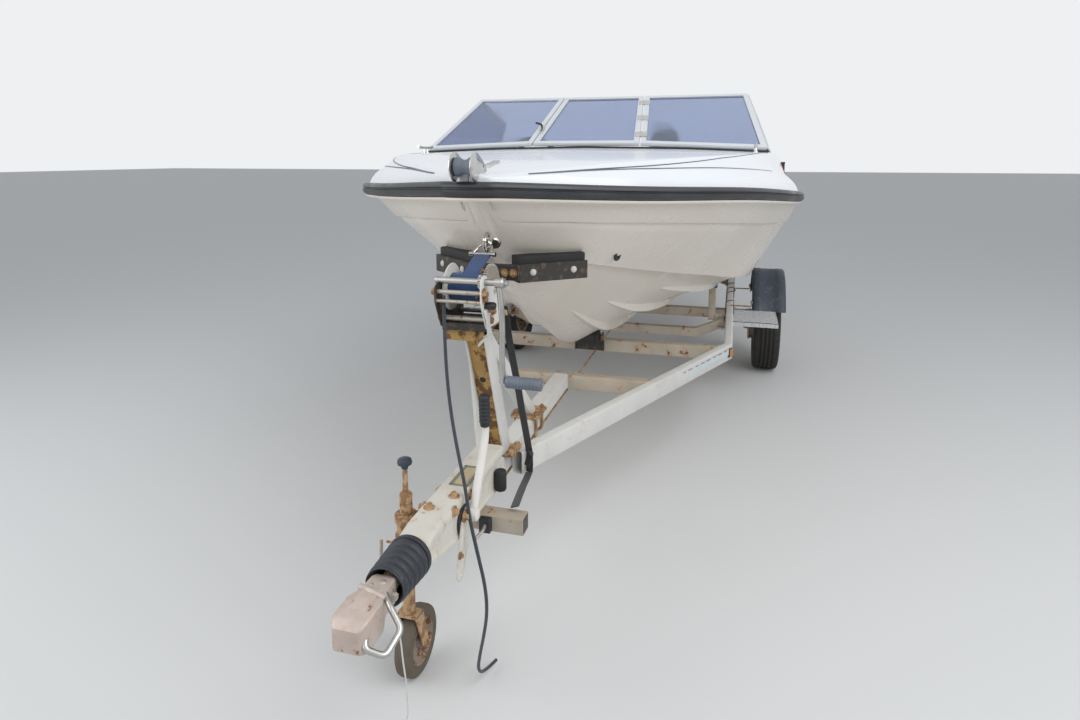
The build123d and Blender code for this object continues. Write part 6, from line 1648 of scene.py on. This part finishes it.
make_winch_post()
make_winch_frame()
make_winch_drum()
make_straps()
make_snubber()
make_hitch()
make_bellows()
make_coupling()
make_handbrake()
make_jockey()


# Seats
# How far the cloth run may move a point of a cover, in metres
MOST_SWELL = 0.012


def stuffed(half_u, half_v, depth, corner, seams, crown=14, pull=6):
    """A cushion lying flat about its middle: swollen by a short cloth run, then sewn along seams."""
    # The cover starts smaller than its solid by this much all round, and swells into it
    room = 7
    rings = []
    for height, inset in ((0, 20), (3, 9), (14, 2), (0.5 * depth, 0), (depth - 15, 2), (depth - 5, 9),
            (depth - 1, 24)):
        shrink = inset + room
        rings.append([(u / 1000, v / 1000, height / 1000)
            for u, v in rounded_plan(shrink - half_u, half_u - shrink, shrink - half_v, half_v - shrink,
            max(corner - inset, 12), 8)])
    points, faces = skin(rings)
    mesh = bpy.data.meshes.new("stuffing")
    mesh.from_pydata(points, [], faces)
    cushion = in_scene("stuffing", mesh)
    weave = cushion.modifiers.new("remesh", "REMESH")
    weave.mode = "VOXEL"
    weave.voxel_size = 0.006 if half_u * half_v < 60000 else 0.009
    evaluated(cushion)
    before = [v.co.copy() for v in cushion.data.vertices]
    swell(cushion)
    moved = []
    for rest, vertex in zip(before, cushion.data.vertices):
        shift = vertex.co - rest
        if shift.length > MOST_SWELL:
            shift *= MOST_SWELL / shift.length
        moved.append((rest + shift) * 1000)
    result = []
    for x, y, z in moved:
        u, v = max(-1, min(1, x / half_u)), max(-1, min(1, y / half_v))
        x -= pull * (1 - v * v) * u * abs(u) ** 3
        y -= pull * (1 - u * u) * v * abs(v) ** 3
        if z > 0.5 * depth:
            share = min(1, (z / depth - 0.5) * 2.2)
            z += share * crown * ((1 - u * u) * (1 - v * v) - 0.35)
            for a, b in seams:
                along = Vector((b[0] - a[0], b[1] - a[1]))
                t = max(0, min(1, Vector((x - a[0], y - a[1])).dot(along) / along.length_squared))
                gap = hypot(x - a[0] - along.x * t, y - a[1] - along.y * t)
                z -= share * (7 * exp(-(gap / 5) ** 2) + 5 * exp(-(gap / 18) ** 2))
        result.append((x, y, max(0, min(depth, z))))
    faces = [tuple(face.vertices) for face in cushion.data.polygons]
    bpy.data.objects.remove(cushion)
    return result, faces


def swell(cushion):
    """Blows a closed cover up a little, as its foam does, with a short cloth run."""
    cloth = cushion.modifiers.new("cloth", "CLOTH")
    cloth.settings.use_pressure = True
    cloth.settings.uniform_pressure_force = 4
    cloth.settings.quality = 4
    cloth.settings.effector_weights.gravity = 0
    cloth.point_cache.frame_start, cloth.point_cache.frame_end = 1, 20
    for number in range(1, 21):
        bpy.context.scene.frame_set(number)
    evaluated(cushion)
    bpy.context.scene.frame_set(1)


def edge_cord(half_u, half_v, depth, corner, pull=6):
    """The path of a cushion's piping, round its upper edge."""
    path = []
    for u, v in rounded_plan(4 - half_u, half_u - 4, 4 - half_v, half_v - 4, corner, 6):
        a, b = u / half_u, v / half_v
        path.append((u - pull * (1 - b * b) * a * abs(a) ** 3, v - pull * (1 - a * a) * b * abs(b) ** 3,
            depth - 18))
    return path


def set_in(form, place):
    """A form with each of its points put somewhere else."""
    return [place(*p) for p in form[0]], form[1]


def make_seats():
    """Two chairs and the stern bench in pleated vinyl, piped along their edges."""
    top = KEEL_Z + 185 + 8 + 190
    lean = radians(8)

    def pan(u, v, w):
        return 180 + u, 425 + v, top + w

    def back(u, v, w):
        x, z = w - 35, v + 220
        return -70 + x * cos(lean) - z * sin(lean), 425 + u, top + x * sin(lean) + z * cos(lean)

    def squab(u, v, w):
        return -972 + u, v, top + w

    def rest(u, v, w):
        return -1225 + w, u, top + 158 + v
    pleats = [[((a, -150), (a, 150)) for a in (-95, -32, 32, 95)],
        [((a, -90), (a, 150)) for a in (-132, -66, 0, 66, 132)],
        [((-110, a), (110, a)) for a in range(-540, 541, 120)],
        [((a, -100), (a, 100)) for a in range(-540, 541, 120)]]
    frames = [((-150, -150), (-150, 150)), ((150, -150), (150, 150)), ((-150, -150), (150, -150)),
        ((-150, 150), (150, 150))]
    for name, place, size, corner, seams, doubled in (
            ("chair_pans", pan, (190, 220, 90), 40, pleats[0] + frames, True),
            ("chair_backs", back, (220, 208, 70), 50, pleats[1], True),
            ("bench_squab", squab, (165, 620, 90), 50, pleats[2], False),
            ("bench_backrest", rest, (600, 158, 88), 40, pleats[3], False)):
        form = set_in(stuffed(*size, corner, seams), place)
        cord = set_in(closed_bar(edge_cord(*size, corner), 8, 8), place)
        if doubled:
            form, cord = both(form), both(cord)
        cover = part(name, form, "vinyl", "upholstery", "seat_cushions", sharp=80)
        part(name + "_piping", cord, "piping", "upholstery", sharp=80)


# Cockpit fittings
def make_helm():
    """Dials, switches and the throttle box on the helm side, and the wheel with its grips."""
    dash_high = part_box("dashboard")[1]
    front = dash_high.x * 1000 - AXLE_X * 1000
    top = dash_high.z * 1000
    slope_a, slope_b = Vector((front - 0.7 * 130, 0, top - 12)), Vector((front - 130, 0, top - 76))
    face = (slope_b - slope_a).normalized()
    out = Vector((face.z, 0, -face.x))
    middle = (slope_a + slope_b) / 2
    bezels, dials, needles = [], [], []
    for y, radius in ((-300, 26), (-370, 30), (-480, 30), (-550, 26)):
        place = middle + Vector((0, y, 0))
        bezels.append(spun([(radius - 4, 4), (radius, 5), (radius + 2, 2), (radius + 2, -2),
            (radius - 4, -2)], place, out, 40))
        dials.append(peg(radius - 3.5, 2, -1, place, out, 40))
        tip = place + out * 2.6
        needles.append(ribbon([tip, tip + (face * -0.7 + Vector((0, 0.7, 0))) * (radius - 9)], 2.2, 0.8))
        for k in range(9):
            a = radians(-130 + 32 * k)
            ray = face * -cos(a) + Vector((0, sin(a), 0))
            needles.append(ribbon([tip + ray * (radius - 9), tip + ray * (radius - 6)], 1.6, 0.6))
    part("dial_bezels", combined(*bezels), "stainless", "stainless")
    part("dial_faces", combined(*dials), "abs", "dash")
    part("dial_marks", combined(*needles), "white_paint", "dash")
    switches = []
    for k in range(4):
        place = Vector((front - 130 + 6, -260 - 34 * k, top - 108))
        switches.append(round_bar([place, place + Vector((-20, 0, 5))], 6, 12))
        switches.append(spun([(0, 5), (8, 5), (10, 0), (10, -3), (0, -3)], place, (-1, 0, 0.1), 20))
    part("dash_switches", combined(*switches), "plated", "stainless")
    box = plate([(1000, top - 170), (1130, top - 180), (1140, top - 90), (1110, top - 70),
        (1010, top - 80)], -676, -640, 14)
    lever = round_bar([(1080, -640, top - 120), (1080, -624, top - 118), (1092, -610, top - 40)], 12, 14,
        14)
    ball = spun([(0, -14), (10, -11), (15, 0), (11, 11), (0, 15)], (1092, -609, top - 30), (0.1, 0.1, 1),
        20)
    part("throttle_box", combined(box, lever, ball), "abs", "dash", bevel=1)
    low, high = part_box("steering_wheel")
    centre = Vector(((low.x + high.x) * 500 - AXLE_X * 1000, -425, (low.z + high.z) * 500))
    forward = Vector((cos(radians(25)), 0, -sin(radians(25))))
    centre = centre - forward * 9
    up = Vector((-forward.z, 0, forward.x))
    side = Vector(PORT)
    rim = []
    for a in turns(72):
        ray = up * cos(a) + side * sin(a)
        thick = 11.5 - 0.9 * (1 - abs(cos(6 * a)))
        rim.append([centre + ray * (153 + thick * cos(b)) + forward * thick * sin(b) for b in turns(14)])
    spokes = []
    for angle in (90, 210, 330):
        ray = up * cos(radians(angle)) + side * sin(radians(angle))
        cross = up * -sin(radians(angle)) + side * cos(radians(angle))
        spokes.append(ribbon([centre + ray * 30 + forward * 5, centre + ray * 90 + forward * 5,
            centre + ray * 150 + forward * 1], 30, 6, across=cross))
    hub = spun([(0, -10), (26, -8), (34, -2), (37, 8), (37, 28), (0, 28)], centre, forward, 40)
    part("wheel_rim_and_spokes", combined(skin(rim, wrap=True), *spokes, hub), "abs", "grip",
        "steering_wheel", body="steering_wheel", sharp=50)


def make_cockpit_trim():
    """Carpet on the floor and grab rails on the dash."""
    floor = KEEL_Z + 185 + 8
    carpet = []
    for x_low, x_high, half in ((-790, -100, 440), (-100, 1290, 200)):
        carpet.append(prism(rounded_plan(x_low, x_high, -half, half, 20), floor - 1, floor + 6))
    part("floor_carpet", combined(*carpet), "carpet", "liner", bevel=2)
    rails = []
    for y in (1, -1):
        rails.append(round_bar([(1325, y * 250, 1424), (1296, y * 250, 1436), (1296, y * 540, 1436),
            (1325, y * 540, 1424)], 18, 14, 26))
    part("dash_grab_rails", combined(*rails), "stainless", "stainless", sharp=60)


# Keel rollers
def make_rollers():
    """Ribbed keel rollers, waisted for the keel, with the nuts of their spindles."""
    rollers, spindles = [], []
    for x in (1631, -429, -1674):
        z = KEEL_Z + fair(x).keel - 38
        line = [(9.5, -59), (30, -59), (36, -56), (37.5, -50), (37.5, -42), (35, -40), (35, -37),
            (37, -35), (36, -26), (33, -14), (31.5, 0), (33, 14), (36, 26), (37, 35), (35, 37), (35, 40),
            (37.5, 42), (37.5, 50), (36, 56), (30, 59), (9.5, 59)]
        rollers.append(spun(line, (x, 0, z), PORT, 48))
        spindles += [bolt((x, side * 68, z), (0, side, 0), 19) for side in (-1, 1)]
    part("keel_roller_rubbers", combined(*rollers), "rubber", "dark_rubber", "keel_rollers", sharp=30)
    part("roller_nuts", combined(*spindles), "rusty", "rusty_steel")


# Outboard motor
MOTOR_PLACE = (-1890, 0, 1158)
MOTOR_TILT = 45


def tilted(form):
    """A piece of the upright motor, tilted up and set on the transom."""
    spin = Matrix.Rotation(radians(MOTOR_TILT), 3, "Y")
    return [spin @ Vector(p) + Vector(MOTOR_PLACE) for p in form[0]], form[1]


def squared_ring(x, z, length, width, square=3.2, sides=56):
    """A ring between an ellipse and a rectangle."""
    ring = []
    for a in turns(sides):
        c, s = cos(a), sin(a)
        ring.append((x + length / 2 * abs(c) ** (2 / square) * (1 if c > 0 else -1),
            width / 2 * abs(s) ** (2 / square) * (1 if s > 0 else -1), z))
    return ring


def make_motor():
    """Cowl with its lower pan, seal and louvres, and the leg with its plate, gearcase and skeg."""
    shaft = -192

    def level(z, length, width, square=3.4):
        return squared_ring(shaft - (440 - length) * 0.2, z, length, width, square)
    cover = [level(z, length, width) for z, length, width in ((128, 424, 286), (132, 434, 295),
        (149, 440, 300), (200, 438, 297), (270, 431, 288), (318, 421, 276), (348, 404, 256),
        (368, 378, 228), (382, 330, 186), (386.5, 260, 130), (387, 120, 60))]
    pan = [level(z, length, width) for z, length, width in ((57, 376, 244), (60, 382, 250),
        (80, 396, 262), (120, 422, 285), (124, 424, 286))]
    seal = [level(z, length, width) for z, length, width in ((122, 426, 288), (124, 432, 294),
        (129, 432, 294), (131, 426, 288))]
    louvres = []
    for k in range(5):
        z = 250 + 16 * k
        back_x = shaft - 219 + 0.12 * (z - 250)
        louvres.append(ribbon([(back_x, -62, z), (back_x - 2, 0, z), (back_x, 62, z)], 7, 5, across=UP))
    part("cowl_cover", tilted(skin(cover)), "enamel", "motor_cover", "motor_cowl", body="motor", sharp=50)
    part("cowl_pan", tilted(skin(pan)), "enamel", "motor_cover", body="motor", sharp=50)
    part("cowl_seal", tilted(combined(skin(seal), *louvres)), "rubber", "dark_rubber", body="motor",
        sharp=50)

    def foil(z, length, width, shift=0):
        ring = []
        for a in turns(40):
            c, s = cos(a), sin(a)
            nose = 1 if c > 0 else 0.96
            ring.append((shaft + shift + length / 2 * c * nose,
                width / 2 * (abs(s) ** 0.8) * (1 if s > 0 else -1) * (0.86 + 0.14 * c), z))
        return ring
    housing = skin([foil(-520, 168, 68), foil(-440, 164, 74), foil(-360, 160, 82), foil(-200, 164, 92),
        foil(-60, 170, 102), foil(32, 174, 108)])
    lower = skin([foil(-690, 186, 44, 6), foil(-640, 178, 46, 4), foil(-580, 172, 52, 2),
        foil(-516, 168, 60)])
    fin = prism(rounded_outline([(shaft + 108, 20), (shaft + 60, 56), (shaft - 200, 98),
        (shaft - 248, 70), (shaft - 248, -70), (shaft - 200, -98), (shaft + 60, -56),
        (shaft + 108, -20)], 22), -519, -512.5)
    gearcase = spun([(0, -190), (8, -188), (21, -174), (32, -148), (37, -118), (40, -70), (41.8, -20),
        (41.8, 100), (40, 118), (9.8, 119), (9.8, 248), (0, 249)], (shaft + 6, 0, -690), AFT, 40)
    skeg = plate([(shaft + 86, -690), (shaft - 108, -690), (shaft - 119, -858), (shaft - 62, -868)], -5,
        5, 14)
    steer = -62
    kingpin = round_bar([(steer, 0, -262), (steer, 0, 40)], 28, 24)
    head = prism(rounded_plan(steer - 208, steer + 29, -59, 59, 26), 32, 56)
    foot = prism(rounded_plan(steer - 119, steer + 23, -39, 39, 18), -286, -256)
    intake = [ribbon([(shaft + 40 - 16 * k, 30, -610), (shaft + 40 - 16 * k, 29, -650)], 5, 8,
        across=AHEAD) for k in range(4)]
    part("leg_castings", tilted(combined(housing, lower, fin, gearcase, skeg, kingpin, head, foot)),
        "enamel", "motor_metal", "motor_leg", body="motor", bevel=1.5)
    part("leg_water_slots", tilted(combined(*intake, *[mirrored(i) for i in intake])), "rubber",
        "motor_metal", body="motor")
    bolts = [bolt((steer - 30 - 60 * k, side * 46, 56), UP) for k in range(3) for side in (-1, 1)]
    bolts += [bolt((shaft + dx, side * 37, -480), (0, side, 0), 12) for dx in (-50, 50)
        for side in (-1, 1)]
    part("leg_bolts", tilted(combined(*bolts)), "stainless", "stainless", body="motor")


def make_propeller():
    """Hub with its exhaust rings and three swept blades with a real pitch."""
    x, drop, hub_length = -310, -690, 100
    hub = spun([(11, 0), (40, 0), (42, 3), (41.5, 60), (37, 96), (36, 100), (11, 100), (11, 92),
        (30, 90), (31, 70), (11, 68)], (x, 0, drop), AFT, 48)
    blades = []
    for turn in (0, 120, 240):
        rows = []
        for k in range(11):
            t = k / 10
            radius = 34 + (148 - 34) * t
            chord = 42 + 34 * sin(pi * min(1, 0.25 + 0.6 * t)) - 26 * t ** 5
            pitch = atan2(265, 2 * pi * radius)
            sweep = 0.5 * t ** 1.6
            row = []
            for a in turns(16):
                s = cos(a) * chord * (1 if t < 0.98 else 0.8)
                thick = (5.5 - 3.6 * t) * sin(a) * (1 - 0.4 * cos(a))
                theta = radians(turn) + (s * cos(pitch) - thick * sin(pitch)) / radius + sweep
                axial = s * sin(pitch) * 0.62 + thick * cos(pitch)
                row.append((x - hub_length / 2 + axial, radius * sin(theta), drop + radius * cos(theta)))
            rows.append(row)
        blades.append(skin(rows))
    nut = spun([(11.5, 0), (17, 0), (17, 10), (13, 14), (11.5, 14)], (x - 92, 0, drop), AFT, 6)
    part("propeller_casting", tilted(combined(hub, *blades, nut)), "cast", "cast_aluminium", "propeller",
        body="propeller", sharp=60)


def make_transom_clamps():
    """The tommy bars and plain heads of the clamp screws."""
    bars = []
    for y in (-105, 105):
        bars.append(round_bar([(-1830, y - 30, 1078), (-1830, y + 30, 1078)], 9, 14))
        bars.append(spun([(0, 0), (14, 0), (14, 10), (10, 14), (0, 14)], (-1852, y, 1078), AHEAD, 20))
    part("clamp_screw_bars", combined(*bars), "stainless", "stainless", sharp=50)


make_seats()
make_helm()
make_cockpit_trim()
make_rollers()
make_motor()
make_propeller()
make_transom_clamps()


# Floor and light
def make_stage():
    """A plain floor, a sky that is brighter to the eye than as a light, and two area lamps."""
    reach = 60
    floor_mesh = bpy.data.meshes.new("floor")
    floor_mesh.from_pydata([(-reach, -reach, 0), (reach, -reach, 0), (reach, reach, 0),
        (-reach, reach, 0)], [], [(0, 1, 2, 3)])
    material, add = blank_material("plain_floor")
    add("OutputMaterial", {"Surface": add("BsdfPrincipled",
        {"Base Color": linear("#D4D5D5"), "Roughness": 0.9})})
    floor_mesh.materials.append(material)
    in_scene("floor", floor_mesh)
    world = bpy.data.worlds.new("world")
    bpy.context.scene.world = world
    world.use_nodes = True
    world.node_tree.nodes.clear()
    add = partial(add_node, world.node_tree)
    light = add("Background", {"Color": linear("#E3E7EC"), "Strength": 0.6})
    backdrop = add("Background", {"Color": linear("#EEF0F2"), "Strength": 1.0})
    rays = add("LightPath").outputs
    seen = add("Math", {0: rays["Is Camera Ray"], 1: rays["Is Glossy Ray"]}, operation="ADD")
    seen = add("Math", {0: seen, 1: rays["Is Transmission Ray"]}, operation="ADD", use_clamp=True)
    add("OutputWorld", {"Surface": add("MixShader", {0: seen, 1: light, 2: backdrop})})
    for name, place, target, size, power in (("key", (4300, 3400, 4200), (1200, 0, 900), 4.5, 190),
            ("fill", (5200, -3200, 2400), (2000, 0, 800), 4.0, 90)):
        data = bpy.data.lights.new(name, "AREA")
        data.size = size
        data.energy = power
        aim(in_scene(name, data), metres(place), metres(target) - metres(place))


make_stage()

bpy.context.scene.view_settings.view_transform = "Standard"
